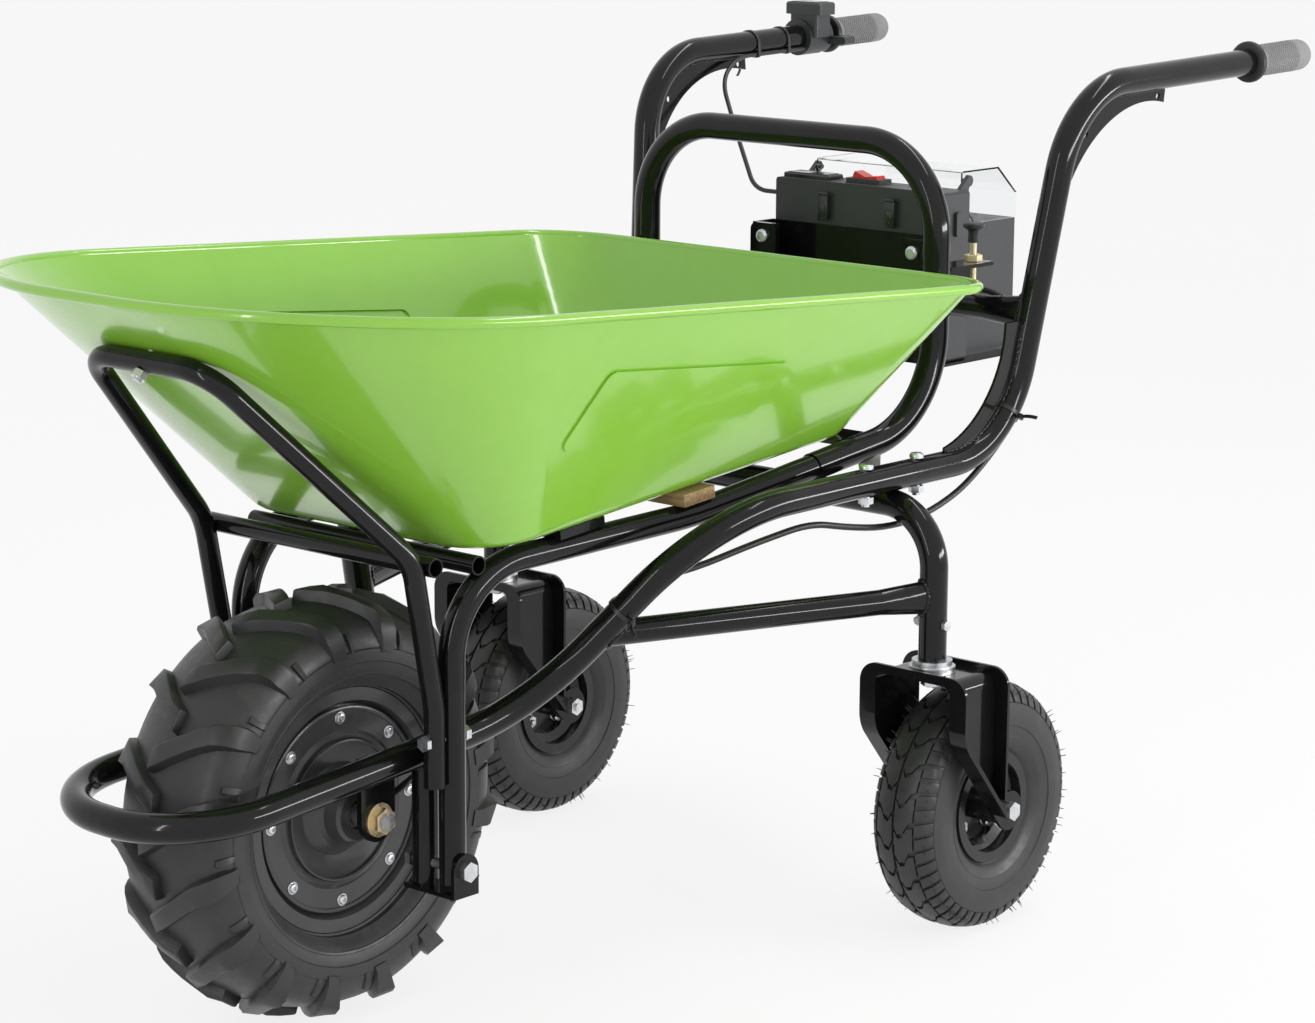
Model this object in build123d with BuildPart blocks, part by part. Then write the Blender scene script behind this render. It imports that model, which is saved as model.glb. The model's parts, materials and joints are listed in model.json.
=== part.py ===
from build123d import *
import os
from math import cos, hypot, radians, sin, tan

# Electric wheelbarrow with a hub motor in its front wheel, two trailing castors and a tray that tips forward.
# X points the way it travels, Y to the operator's left, Z up, and it stands on Z = 0. Millimetres.

# Overall layout, measured from the drive axle
HANDLE_END = -1204.0       # end of the handle tubes
BUMPER_REACH = 242.0       # front run of the bumper
RAIL_Y = 250.0             # rear, level runs of the rails
HANDLE_Y = 290.0           # ends of the handles
RAIL_FRONT_Y = 104.0       # rails beside the drive wheel
RAIL_REAR_Z = 464.0        # rear, level runs of the rails
RAIL_LOW_Z = 273.0         # rails behind the drive wheel
BUMPER_Z = 237.0           # front run of the bumper
HANDLE_Z = 843.0           # ends of the handles

# Tubes
RAIL_D = 28.0
RAIL_WALL = 2.0
TIP_D = 25.0               # tipping frame rails
TIP_WALL = 1.8
HOOP_D = 28.0              # rear hoop of the tipping frame
FRONT_D = 20.0             # front hoop against the tray
FRONT_WALL = 1.5
BRACE_D = 25.0
CROSSBAR_D = 25.0
WELD_BITE = 0.6            # depth that a round tube is coped into its neighbour

# Fits
FIT_GAP = 0.3              # between bodies that only pass each other
RUN_GAP = 0.05             # radial clearance of a running shaft
BOLT_GAP = 0.2             # radial clearance of a bolt in its hole

# Drive wheel
TYRE_R = 203.0
TYRE_HALF = 72.0
LUG_COUNT = 16             # lugs on each side of the tread
LUG_HEIGHT = 11.0
LUG_WIDTH = 23.0
BEAD_R = 103.0
RIM_FLANGE_R = 115.0
RIM_HALF = 46.0
COVER_FACE = 41.0          # hub cover's screw ring from the wheel's middle
COVER_DISH = 7.0
COVER_T = 5.0
SCREW_CIRCLE_R = 87.0
SCREW_COUNT = 8
BOSS_R = 27.0
BOSS_FACE = 66.0
AXLE_D = 16.0
AXLE_PLATE_T = 6.0
AXLE_PLATE_W = 42.0
AXLE_END = 104.0

# Castors
CASTOR_R = 127.0
CASTOR_HALF = 38.0
CASTOR_RIM_R = 57.0
CASTOR_TRAIL = 68.0
CASTOR_BOLT_D = 10.0
POST_X = -556.0            # swivel axis from the drive axle
POST_Y = 298.0             # swivel axis from the barrow's middle
POST_FOOT_Z = 287.0
FORK_INSIDE = 92.0
FORK_FLANGE = 16.0
FORK_T = 3.5
FORK_FRONT = 31.0          # front flange ahead of the swivel axis
FORK_REAR = 41.0
KINGPIN_D = 12.0

# Tipping frame
TIP_Y = 139.0
TIP_X = -47.0              # upright tubes and tipping axis from the drive axle
TIP_PIVOT_Z = 157.0
TIP_FOOT = 14.0            # tube end below the tipping axis
TIP_CORNER_Z = 432.0       # rails turn back from their uprights here
TIP_KNEE_X = -335.0        # and turn up a little here, in line with the hoop's feet
TIP_KNEE_Y = 172.0
TIP_KNEE_Z = 447.0
HOOP_X = -685.0
HOOP_Y = 195.0
HOOP_FOOT_Z = 496.0        # feet turn up to the legs here
HOOP_TOP = 774.0
PIVOT_BOLT_D = 10.0

# Tray
TRAY_RIM_FRONT = 246.0
TRAY_RIM_REAR = -658.0
TRAY_RIM_HALF = 298.0
TRAY_RIM_Z = 685.0
TRAY_RIM_RISE = 0.06       # rim rises to the front
TRAY_FLOOR_FRONT = -62.0
TRAY_FLOOR_REAR = -586.0
TRAY_FLOOR_HALF = 175.0
TRAY_FLOOR_Z = 444.6       # underside above the drive axle's foot, before its slope
TRAY_FLOOR_RISE = 0.085    # floor rises to the rear
TRAY_WALL = 2.4            # sheet thickness measured straight up
TRAY_BEAD_R = 5.0

# Control box and battery
BOX_FRONT = -805.0
BOX_DEPTH = 42.0
BOX_HALF = 115.0
BOX_TOP = 710.0
BOX_BOTTOM = 530.0
BATTERY_DEPTH = 105.0
BATTERY_HALF = 100.0
BATTERY_TOP = 671.0
CARRIER_T = 3.0
HOOD_T = 2.0
HOOD_TOP = 728.0

# Lock
LOCK_Y = 189.0
LOCK_PIN_D = 7.0
LOCK_TRAVEL = 12.0

# Grips and throttle
GRIP_LENGTH = 108.0
GRIP_END_T = 4.0           # closed end of the grips
GRIP_R = 17.0
GRIP_FLANGE_R = 22.0
THROTTLE_LENGTH = 34.0
LEVER_T = 9.0

RAIL_R = RAIL_D / 2
TIP_R = TIP_D / 2
HOOP_R = HOOP_D / 2
CROSSBAR_R = CROSSBAR_D / 2
# The drive axle stands this far ahead of the middle of the barrow's length
AXLE_X = (GRIP_END_T - HANDLE_END - BUMPER_REACH - RAIL_R) / 2
UP = Vector(0, 0, 1)
DOWN = Vector(0, 0, -1)
LEFT = Vector(0, 1, 0)
RIGHT = Vector(0, -1, 0)
AHEAD = Vector(1, 0, 0)
BACK = Vector(-1, 0, 0)
os.makedirs("parts", exist_ok=True)


def at(ahead, left, up):
    """Point given from the drive axle's foot: ahead of it, to the left of it and above the ground."""
    return Vector(ahead + AXLE_X, left, up)


def side_plane(left):
    """Upright plane facing right, drawn in lengths ahead of the origin and heights."""
    return Plane(origin=(0, left, 0), x_dir=(1, 0, 0), z_dir=(0, -1, 0))


def cross_plane(ahead):
    """Upright plane facing forward, drawn in widths to the left and heights."""
    return Plane(origin=at(ahead, 0, 0), x_dir=(0, 1, 0), z_dir=(1, 0, 0))


def spin_plane(centre):
    """Plane through a wheel's axis, drawn in widths along the axis and radii."""
    return Plane(origin=centre, x_dir=(0, 1, 0), z_dir=(1, 0, 0))


def bent_tube(points, bends, diameter, wall=0.0):
    """Round tube, or bar where no wall is given, along straight runs joined by bends."""
    with BuildPart() as tube:
        with BuildLine() as run:
            FilletPolyline(*points, radius=bends)
        with BuildSketch(Plane(origin=run.line @ 0, z_dir=run.line % 0)):
            Circle(diameter / 2)
            if wall:
                Circle(diameter / 2 - wall, mode=Mode.SUBTRACT)
        sweep(path=run.line)
    return tube.part


def straight_tube(start, end, diameter, wall=0.0):
    """Round tube, or bar where no wall is given, between two points."""
    axis = Plane(origin=start, z_dir=end - start)
    with BuildPart() as tube:
        with BuildSketch(axis):
            Circle(diameter / 2)
            if wall:
                Circle(diameter / 2 - wall, mode=Mode.SUBTRACT)
        extrude(amount=(end - start).length)
    return tube.part


def hex_prism(centre, direction, across, height, bore=0.0):
    """Hexagon bar of the given width across flats, from its centre along a direction."""
    with BuildPart() as prism:
        with BuildSketch(Plane(origin=centre, z_dir=direction)):
            RegularPolygon(radius=across / 2, side_count=6, major_radius=False)
            if bore:
                Circle(bore / 2, mode=Mode.SUBTRACT)
        extrude(amount=height)
    return prism.part


def mirrored(piece):
    """The same piece on the other side of the barrow."""
    return mirror(piece, about=Plane.XZ)


def other_side(place):
    """The same point or direction on the other side of the barrow."""
    return Vector(place.X, -place.Y, place.Z)


def both_sides(piece):
    """A left piece together with its mirror image."""
    with BuildPart() as pair:
        add(piece)
        add(mirrored(piece))
    return pair.part


def squeezed_end(start, end, diameter, across, tall):
    """Tube end pressed from a circle to an upright oval."""
    along = end - start
    level = UP.cross(along)
    with BuildPart() as pressed:
        with BuildSketch(Plane(origin=start, x_dir=level, z_dir=along)):
            Circle(diameter / 2)
        with BuildSketch(Plane(origin=end, x_dir=level, z_dir=along)):
            Ellipse(across / 2, tall / 2)
        loft()
    return pressed.part


def save(piece, name):
    """Labels a finished piece and writes it."""
    piece.label = name
    export_step(piece, f"parts/{name}.step")


# Rails: one tube from the left handle round the bumper to the right handle
SEAM_X = -572.0
RISE_X = -279.0            # top of the rails' rise
DROP_X = -180.0            # foot of the rails' rise
RISE_BEND = 155.0
DROP_BEND = 140.0
BUMPER_BEND = 96.0
left_rail = [at(SEAM_X, RAIL_Y, RAIL_REAR_Z), at(RISE_X, RAIL_Y, RAIL_REAR_Z),
             at(DROP_X, RAIL_FRONT_Y, RAIL_LOW_Z), at(BUMPER_REACH, RAIL_FRONT_Y, BUMPER_Z)]
rail_points = left_rail + [other_side(point) for point in reversed(left_rail)]
rail_bends = [RISE_BEND, DROP_BEND, BUMPER_BEND, BUMPER_BEND, DROP_BEND, RISE_BEND]
rail_bar = bent_tube(rail_points, rail_bends, RAIL_D)

# Handles, swaged to slide into the rails, each held by two upright bolts, and leaning out to the grips
SPIGOT = 82.0
SPIGOT_D = RAIL_D - 2 * RAIL_WALL - 2 * BOLT_GAP
KICK_X = -735.0            # handles turn up here
CREST_X = -788.0           # and back again here
CREST_Y = 286.0
CREST_Z = 831.0
KICK_BEND = 105.0
CREST_BEND = 100.0
seam = at(SEAM_X, RAIL_Y, RAIL_REAR_Z)
kick = at(KICK_X, RAIL_Y, RAIL_REAR_Z)
crest = at(CREST_X, CREST_Y, CREST_Z)
handle_tip = at(HANDLE_END, HANDLE_Y, HANDLE_Z)
handle_points = [seam + BACK * FIT_GAP, kick, crest, handle_tip]
handle_bends = [KICK_BEND, CREST_BEND]
handle_bar = bent_tube(handle_points, handle_bends, RAIL_D)
grip_way = (handle_tip - crest).normalized()
JOINT_BOLT_D = 8.0
RAIL_BOLT = 65.0           # bolt through rail and handle, ahead of the seam
HANDLE_BOLT = 15.0         # bolt through the handle, behind the seam
joint_bolt_xs = (SEAM_X + RAIL_BOLT, SEAM_X - HANDLE_BOLT)

with BuildPart() as joint_holes:
    for bolt_x in joint_bolt_xs:
        for side in (RAIL_Y, -RAIL_Y):
            with Locations(at(bolt_x, side, RAIL_REAR_Z)):
                Cylinder(JOINT_BOLT_D / 2 + BOLT_GAP, 3 * RAIL_D)

with BuildPart() as main_rail:
    add(bent_tube(rail_points, rail_bends, RAIL_D, RAIL_WALL))
    add(joint_holes.part, mode=Mode.SUBTRACT)
save(main_rail.part, "main_rail")

spigot_start = seam + AHEAD * SPIGOT
spigot_end = seam + BACK * SPIGOT / 3
with BuildPart() as left_handle:
    add(bent_tube(handle_points, handle_bends, RAIL_D, RAIL_WALL))
    add(straight_tube(spigot_start, spigot_end, SPIGOT_D + 2 * BOLT_GAP, RAIL_WALL + BOLT_GAP))
    with BuildSketch(Plane(origin=spigot_start, z_dir=BACK)):
        Circle(RAIL_R)
        Circle(SPIGOT_D / 2, mode=Mode.SUBTRACT)
    extrude(amount=SPIGOT + FIT_GAP, mode=Mode.SUBTRACT)
    add(joint_holes.part, mode=Mode.SUBTRACT)
save(left_handle.part, "left_handle")
save(mirrored(left_handle.part), "right_handle")

# Castor arch: one tube across under both rails, bent down to a castor post on each side
ARCH_BEND = 60.0
ARCH_Z = RAIL_REAR_Z - RAIL_D + WELD_BITE
left_post = [at(POST_X, POST_Y, POST_FOOT_Z), at(POST_X, POST_Y, ARCH_Z)]
arch_points = left_post + [other_side(point) for point in reversed(left_post)]
arch_bends = [ARCH_BEND, ARCH_BEND]
arch_bar = bent_tube(arch_points, arch_bends, RAIL_D)
STEM_BOLT_D = 6.0
STEM_BOLT_RISE = 36.0
stem_bolt_z = POST_FOOT_Z + STEM_BOLT_RISE

with BuildPart() as stem_bolt_holes:
    for side in (POST_Y, -POST_Y):
        with Locations(Location(at(POST_X, side, stem_bolt_z), (90, 0, 0))):
            Cylinder(STEM_BOLT_D / 2 + BOLT_GAP, 2 * RAIL_D)

with BuildPart() as castor_arch:
    add(bent_tube(arch_points, arch_bends, RAIL_D, RAIL_WALL))
    add(rail_bar, mode=Mode.SUBTRACT)
    add(stem_bolt_holes.part, mode=Mode.SUBTRACT)
save(castor_arch.part, "castor_arch")

# Braces from the rise of the rails to the posts
BRACE_SHARE = 0.4          # place of the brace's foot on the rise
BRACE_Z = 350.0
BRACE_SQUEEZE = 62.0       # pressed length at the post
SQUEEZE_W = 17.0
SQUEEZE_H = 35.0
rise_top = left_rail[1]
rise_foot = left_rail[2]
brace_start = rise_foot + (rise_top - rise_foot) * BRACE_SHARE
brace_end = at(POST_X, POST_Y, BRACE_Z)
brace_way = (brace_end - brace_start).normalized()
squeeze_start = brace_end - brace_way * BRACE_SQUEEZE
with BuildPart() as left_brace:
    add(straight_tube(brace_start, squeeze_start, BRACE_D, FRONT_WALL))
    add(squeezed_end(squeeze_start, brace_end, BRACE_D, SQUEEZE_W, SQUEEZE_H))
    add(rail_bar, mode=Mode.SUBTRACT)
    add(arch_bar, mode=Mode.SUBTRACT)
save(both_sides(left_brace.part), "post_braces")

# Crossbar between the handles, squeezed taller where it meets them
CROSSBAR_Z = 605.0
SQUEEZE_LENGTH = 44.0
crossbar_seat = kick + (crest - kick) * (CROSSBAR_Z - RAIL_REAR_Z) / (CREST_Z - RAIL_REAR_Z)
crossbar_x = crossbar_seat.X - AXLE_X
round_end = crossbar_seat.Y - RAIL_R - SQUEEZE_LENGTH
left_round = at(crossbar_x, round_end, CROSSBAR_Z)
crossbar_bar = straight_tube(other_side(left_round), left_round, CROSSBAR_D)
with BuildPart() as handle_crossbar:
    add(crossbar_bar)
    add(both_sides(squeezed_end(left_round, crossbar_seat, CROSSBAR_D, SQUEEZE_W, SQUEEZE_H)))
    add(both_sides(handle_bar), mode=Mode.SUBTRACT)
    with Locations(at(crossbar_x, LOCK_Y, CROSSBAR_Z + CROSSBAR_R)):
        Cylinder(LOCK_PIN_D / 2 + BOLT_GAP, 2 * (LOCK_TRAVEL + 3), mode=Mode.SUBTRACT)
save(handle_crossbar.part, "handle_crossbar")

# Gusset plates in both bends of each handle, drawn in the leaning plane of the handle
GUSSET_T = 3.0
GUSSET_HOLE_D = 7.0
KICK_TIE = 54.0            # place of a cable tie on the kick bend, turned from the handle's lower run
lean = Vector(0, crest.Y - kick.Y, crest.Z - kick.Z).normalized()
handle_plane = Plane(origin=at(0, RAIL_Y, RAIL_REAR_Z), x_dir=AHEAD, z_dir=AHEAD.cross(lean))
crest_up = (CREST_Z - RAIL_REAR_Z) / lean.Z
kick_reach = KICK_BEND * tan(radians((kick - seam).get_angle(crest - kick)) / 2)


def kick_place(turn, out):
    """Place in the handle's plane, turned round its kick bend, at a distance outside the middle line."""
    reach = KICK_BEND + out
    return (KICK_X + kick_reach - reach * sin(radians(turn)), KICK_BEND - reach * cos(radians(turn)))


def gusset(corner, foot, middle, tip, holes):
    """Plate in a bend of the left handle, hollow from its foot on the leaning run to its tip."""
    run_x = KICK_X + (CREST_X - KICK_X) * foot[1] / crest_up
    with BuildPart() as plate:
        with BuildSketch(handle_plane):
            with BuildLine():
                Polyline(foot, (run_x, foot[1]), corner, (tip[0], corner[1]), tip)
                ThreePointArc(tip, middle, foot)
            make_face()
            for hole in holes:
                with Locations(hole):
                    Circle(GUSSET_HOLE_D / 2, mode=Mode.SUBTRACT)
        extrude(amount=GUSSET_T / 2, both=True)
        add(handle_bar, mode=Mode.SUBTRACT)
    return plate.part.solids().sort_by(SortBy.VOLUME)[-1]


upper_gusset = gusset((CREST_X, crest_up), (CREST_X + 7, crest_up - 154), (CREST_X - 30, crest_up - 66),
                      (CREST_X - 162, crest_up - 24),
                      [(CREST_X - 150, crest_up - 17), (CREST_X - 27, crest_up - 49)])
lower_gusset = gusset((KICK_X, 0), (KICK_X + 23, 136), (KICK_X + 49, 52), (KICK_X + 106, 18),
                      [kick_place(KICK_TIE, -RAIL_R - 1)])
with BuildPart() as handle_gussets:
    add(both_sides(upper_gusset))
    add(both_sides(lower_gusset))
save(handle_gussets.part, "handle_gussets")

# Rubber grips, closed at the end, with a hand stop at the front and shallow grooves round them
FLANGE_T = 7.0
GROOVE_COUNT = 6
GROOVE_START = 18.0
GROOVE_PITCH = 13.5
GROOVE_W = 4.0
GROOVE_T = 0.8
grip_start = HANDLE_END - GRIP_END_T + GRIP_LENGTH
grip_axis = Plane(origin=handle_tip + grip_way * GRIP_END_T, z_dir=-grip_way)
with BuildPart() as left_grip:
    with BuildSketch(grip_axis):
        Circle(GRIP_R)
    extrude(amount=GRIP_LENGTH)
    fillet(left_grip.edges().group_by(Axis.X)[0], radius=6)
    with BuildSketch(grip_axis.offset(GRIP_LENGTH - FLANGE_T)):
        Circle(GRIP_FLANGE_R)
    extrude(amount=FLANGE_T)
    fillet(left_grip.edges().filter_by(GeomType.CIRCLE).group_by(SortBy.RADIUS)[-1], radius=2.5)
    for groove in range(GROOVE_COUNT):
        with BuildSketch(grip_axis.offset(GROOVE_START + groove * GROOVE_PITCH)):
            Circle(GRIP_R)
            Circle(GRIP_R - GROOVE_T, mode=Mode.SUBTRACT)
        extrude(amount=GROOVE_W, mode=Mode.SUBTRACT)
    add(handle_bar, mode=Mode.SUBTRACT)
save(left_grip.part, "left_grip")
save(mirrored(left_grip.part), "right_grip")

# Upright bolts through the rail joints
HEAD_H = 5.0
NUT_H = 6.5
THREAD_END = 3.0           # bolt end past its nut
rail_top = RAIL_REAR_Z + RAIL_R
rail_under = RAIL_REAR_Z - RAIL_R
with BuildPart() as rail_joint_bolts:
    for side in (RAIL_Y, -RAIL_Y):
        for bolt_x in joint_bolt_xs:
            with Locations(at(bolt_x, side, rail_top)):
                Cylinder(JOINT_BOLT_D * 0.9, HEAD_H, align=(Align.CENTER, Align.CENTER, Align.MIN))
            low = at(bolt_x, side, rail_under - NUT_H - THREAD_END)
            add(straight_tube(low, at(bolt_x, side, rail_top), JOINT_BOLT_D))
            add(hex_prism(at(bolt_x, side, rail_under), DOWN, 13, NUT_H))
    fillet(rail_joint_bolts.edges().filter_by(GeomType.CIRCLE).group_by(Axis.Z)[-1], radius=3)
save(rail_joint_bolts.part, "rail_joint_bolts")

# Hangers for the tipping axis: a drop tube, a foot plate and an outer cheek on each side
HANGER_D = 25.0
FOOT_T = 4.0
CHEEK_T = 4.0
foot_top = TIP_PIVOT_Z - hypot(TIP_R, TIP_FOOT) - 2
cheek_in = TIP_Y + TIP_R + 1.0
hanger_in = RAIL_FRONT_Y - TIP_R
rail_drop_z = RAIL_LOW_Z + (TIP_X - DROP_X) * (BUMPER_Z - RAIL_LOW_Z) / (BUMPER_REACH - DROP_X)
with BuildPart() as left_hanger:
    add(straight_tube(at(TIP_X, RAIL_FRONT_Y, foot_top), at(TIP_X, RAIL_FRONT_Y, rail_drop_z), HANGER_D))
    with BuildSketch(cross_plane(TIP_X)):
        with Locations(((hanger_in + cheek_in + CHEEK_T) / 2, foot_top - FOOT_T / 2)):
            Rectangle(cheek_in + CHEEK_T - hanger_in, FOOT_T)
    extrude(amount=16, both=True)
    with BuildSketch(side_plane(cheek_in)):
        with BuildLine():
            Polyline((TIP_X - 16 + AXLE_X, TIP_PIVOT_Z), (TIP_X - 16 + AXLE_X, foot_top - FOOT_T),
                     (TIP_X + 16 + AXLE_X, foot_top - FOOT_T), (TIP_X + 16 + AXLE_X, TIP_PIVOT_Z))
            ThreePointArc((TIP_X + 16 + AXLE_X, TIP_PIVOT_Z), (TIP_X + AXLE_X, TIP_PIVOT_Z + 16),
                          (TIP_X - 16 + AXLE_X, TIP_PIVOT_Z))
        make_face()
    extrude(amount=-CHEEK_T)
    add(rail_bar, mode=Mode.SUBTRACT)
    with Locations(Location(at(TIP_X, TIP_Y, TIP_PIVOT_Z), (90, 0, 0))):
        Cylinder(PIVOT_BOLT_D / 2 + RUN_GAP, 120, mode=Mode.SUBTRACT)
save(both_sides(left_hanger.part), "tip_hangers")

# Bolts on the tipping axis
PIVOT_HEAD_H = 6.0
pivot_nut_y = hanger_in - NUT_H
pivot_head_y = cheek_in + CHEEK_T
with BuildPart() as left_pivot_bolt:
    add(straight_tube(at(TIP_X, pivot_nut_y, TIP_PIVOT_Z), at(TIP_X, pivot_head_y, TIP_PIVOT_Z), PIVOT_BOLT_D))
    add(hex_prism(at(TIP_X, pivot_head_y, TIP_PIVOT_Z), LEFT, 17, PIVOT_HEAD_H))
    add(hex_prism(at(TIP_X, hanger_in, TIP_PIVOT_Z), RIGHT, 17, NUT_H))
save(both_sides(left_pivot_bolt.part), "pivot_bolts")

# Axle plates on the inner sides of the rails
AXLE_Z = TYRE_R
plate_out = RAIL_FRONT_Y - RAIL_R + WELD_BITE
plate_in = plate_out - AXLE_PLATE_T
rail_axle_z = RAIL_LOW_Z + (0 - DROP_X) * (BUMPER_Z - RAIL_LOW_Z) / (BUMPER_REACH - DROP_X)
with BuildPart() as left_axle_plate:
    with BuildSketch(side_plane(plate_out)):
        with BuildLine():
            Polyline((-AXLE_PLATE_W / 2 + AXLE_X, AXLE_Z), (-AXLE_PLATE_W / 2 + AXLE_X, rail_axle_z + 6),
                     (AXLE_PLATE_W / 2 + AXLE_X, rail_axle_z + 6), (AXLE_PLATE_W / 2 + AXLE_X, AXLE_Z))
            ThreePointArc((AXLE_PLATE_W / 2 + AXLE_X, AXLE_Z), (AXLE_X, AXLE_Z - AXLE_PLATE_W / 2),
                          (-AXLE_PLATE_W / 2 + AXLE_X, AXLE_Z))
        make_face()
        with Locations((AXLE_X, AXLE_Z)):
            Circle(AXLE_D / 2 + BOLT_GAP, mode=Mode.SUBTRACT)
    extrude(amount=AXLE_PLATE_T)
    add(rail_bar, mode=Mode.SUBTRACT)
save(both_sides(left_axle_plate.part), "axle_plates")

# Fixed axle with a shoulder on each side that the plates seat on
SHOULDER_D = 24.0
axle_centre = at(0, 0, AXLE_Z)
shoulder_in = BOSS_FACE + FIT_GAP
with BuildPart() as wheel_axle:
    add(straight_tube(at(0, -AXLE_END, AXLE_Z), at(0, AXLE_END, AXLE_Z), AXLE_D))
    for side in (1, -1):
        add(straight_tube(at(0, side * shoulder_in, AXLE_Z), at(0, side * plate_in, AXLE_Z), SHOULDER_D))
save(wheel_axle.part, "wheel_axle")

WASHER_T = 2.5
WASHER_D = 32.0
with BuildPart() as axle_nuts:
    for side in (1, -1):
        outward = LEFT * side
        plate_face = at(0, side * plate_out, AXLE_Z)
        washer_face = plate_face + outward * WASHER_T
        add(straight_tube(plate_face, washer_face, WASHER_D, (WASHER_D - AXLE_D) / 2))
        add(hex_prism(washer_face, outward, 22, 8, AXLE_D))
save(axle_nuts.part, "axle_nuts")

# Hub motor: stator on the axle, rotor shell with rim, magnets, dished covers and bearings
STATOR_R = 78.0
STATOR_HALF = 18.0
SLOT_COUNT = 18
SHELL_IN = 88.0
MAGNET_T = 5.0
with BuildPart() as motor_stator:
    with BuildSketch(Plane(origin=at(0, -STATOR_HALF, AXLE_Z), x_dir=AHEAD, z_dir=LEFT)):
        Circle(STATOR_R)
        Circle(AXLE_D / 2, mode=Mode.SUBTRACT)
        with PolarLocations(58, SLOT_COUNT):
            Rectangle(30, 7, mode=Mode.SUBTRACT)
    extrude(amount=2 * STATOR_HALF)
save(motor_stator.part, "motor_stator")

with BuildPart() as magnet_ring:
    with BuildSketch(Plane(origin=at(0, -STATOR_HALF, AXLE_Z), x_dir=AHEAD, z_dir=LEFT)):
        Circle(SHELL_IN)
        Circle(SHELL_IN - MAGNET_T, mode=Mode.SUBTRACT)
    extrude(amount=2 * STATOR_HALF)
save(magnet_ring.part, "magnet_ring")

spin_axis = Axis(axle_centre, (0, 1, 0))
cover_seat = COVER_FACE - COVER_T
with BuildPart() as drive_rim:
    with BuildSketch(spin_plane(axle_centre)):
        with BuildLine():
            Polyline((0, BEAD_R - 6), (14, BEAD_R - 6), (22, BEAD_R), (RIM_HALF - 4, BEAD_R),
                     (RIM_HALF - 4, RIM_FLANGE_R), (RIM_HALF, RIM_FLANGE_R), (RIM_HALF, BEAD_R),
                     (cover_seat, BEAD_R - 5), (cover_seat, SHELL_IN - 10), (cover_seat - 8, SHELL_IN - 10),
                     (cover_seat - 12, SHELL_IN), (0, SHELL_IN), (0, BEAD_R - 6))
        make_face()
        mirror(about=Plane.YZ)
    revolve(axis=spin_axis)
save(drive_rim.part, "drive_rim")

BEARING_R = 20.0
cover_out_r = BEAD_R - 6
bearing_in = BOSS_FACE - 16
with BuildPart() as left_hub_cover:
    with BuildSketch(spin_plane(axle_centre)):
        with BuildLine():
            Polyline((cover_seat, cover_out_r), (COVER_FACE - 2, cover_out_r), (COVER_FACE, cover_out_r - 2),
                     (COVER_FACE, SCREW_CIRCLE_R - 12), (COVER_FACE + 3, SCREW_CIRCLE_R - 16),
                     (COVER_FACE + 3 - COVER_DISH, 44), (COVER_FACE + 6, 34), (COVER_FACE + 10, BOSS_R + 4),
                     (BOSS_FACE - 3, BOSS_R), (BOSS_FACE, BOSS_R - 3), (BOSS_FACE, SHOULDER_D / 2 + 2),
                     (BOSS_FACE - 3, SHOULDER_D / 2 + 2), (BOSS_FACE - 3, BEARING_R), (bearing_in, BEARING_R),
                     (bearing_in, BOSS_R + 2), (COVER_FACE + 1 - COVER_DISH - COVER_T, 36),
                     (COVER_FACE + 3 - COVER_DISH - COVER_T, 46),
                     (COVER_FACE + 2 - COVER_T, SCREW_CIRCLE_R - 17),
                     (cover_seat, SCREW_CIRCLE_R - 12), (cover_seat, cover_out_r))
        make_face()
    revolve(axis=spin_axis)
save(left_hub_cover.part, "left_hub_cover")
save(mirrored(left_hub_cover.part), "right_hub_cover")

with BuildPart() as hub_bearings:
    for side in (1, -1):
        inner = at(0, side * bearing_in, AXLE_Z)
        outer = at(0, side * (BOSS_FACE - 3), AXLE_Z)
        add(straight_tube(inner, outer, 2 * BEARING_R, BEARING_R - AXLE_D / 2 - RUN_GAP))
save(hub_bearings.part, "hub_bearings")

SCREW_HEAD_D = 10.0
with BuildPart() as cover_screws:
    for side in (1, -1):
        face = Plane(origin=at(0, side * COVER_FACE, AXLE_Z), x_dir=AHEAD, z_dir=LEFT * side)
        with BuildSketch(face):
            with PolarLocations(SCREW_CIRCLE_R, SCREW_COUNT, start_angle=45):
                Circle(SCREW_HEAD_D / 2)
        extrude(amount=3)
save(cover_screws.part, "cover_screws")

# Drive tyre: a carcass turned about the axle and two rows of swept lugs
SECTION_R = 148.0          # widest part of the section
SHOULDER_HALF = 56.0
SHOULDER_DROP = 14.0       # crown of the tread over its shoulders
LUG_DROP = 24.0            # crown of the lugs over their outer ends
LUG_FOOT_R = 160.0         # lugs end here on the sidewall
LUG_PROUD = 4.0            # lugs stand out this far beside the sidewall
CARCASS_T = 14.0
BEAD_HALF = RIM_HALF - 4 - FIT_GAP
tread_r = TYRE_R - LUG_HEIGHT
shoulder_r = tread_r - SHOULDER_DROP
bead_top = RIM_FLANGE_R + 2
side_half = TYRE_HALF - LUG_PROUD
inner_shoulder = (SHOULDER_HALF - CARCASS_T, shoulder_r - CARCASS_T)
inner_bead = (BEAD_HALF - CARCASS_T, bead_top + 2)
with BuildPart() as drive_tyre:
    with BuildSketch(spin_plane(axle_centre)):
        with BuildLine():
            TangentArc((0, tread_r), (SHOULDER_HALF, shoulder_r), tangent=(1, 0))
            ThreePointArc((SHOULDER_HALF, shoulder_r), (side_half, SECTION_R), (BEAD_HALF, bead_top))
            Polyline((BEAD_HALF, bead_top), (BEAD_HALF, BEAD_R), (inner_bead[0], BEAD_R), inner_bead)
            ThreePointArc(inner_bead, (side_half - CARCASS_T, SECTION_R), inner_shoulder)
            TangentArc((0, tread_r - CARCASS_T), inner_shoulder, tangent=(1, 0))
            Line((0, tread_r - CARCASS_T), (0, tread_r))
        make_face()
        mirror(about=Plane.YZ)
    revolve(axis=spin_axis)

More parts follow.
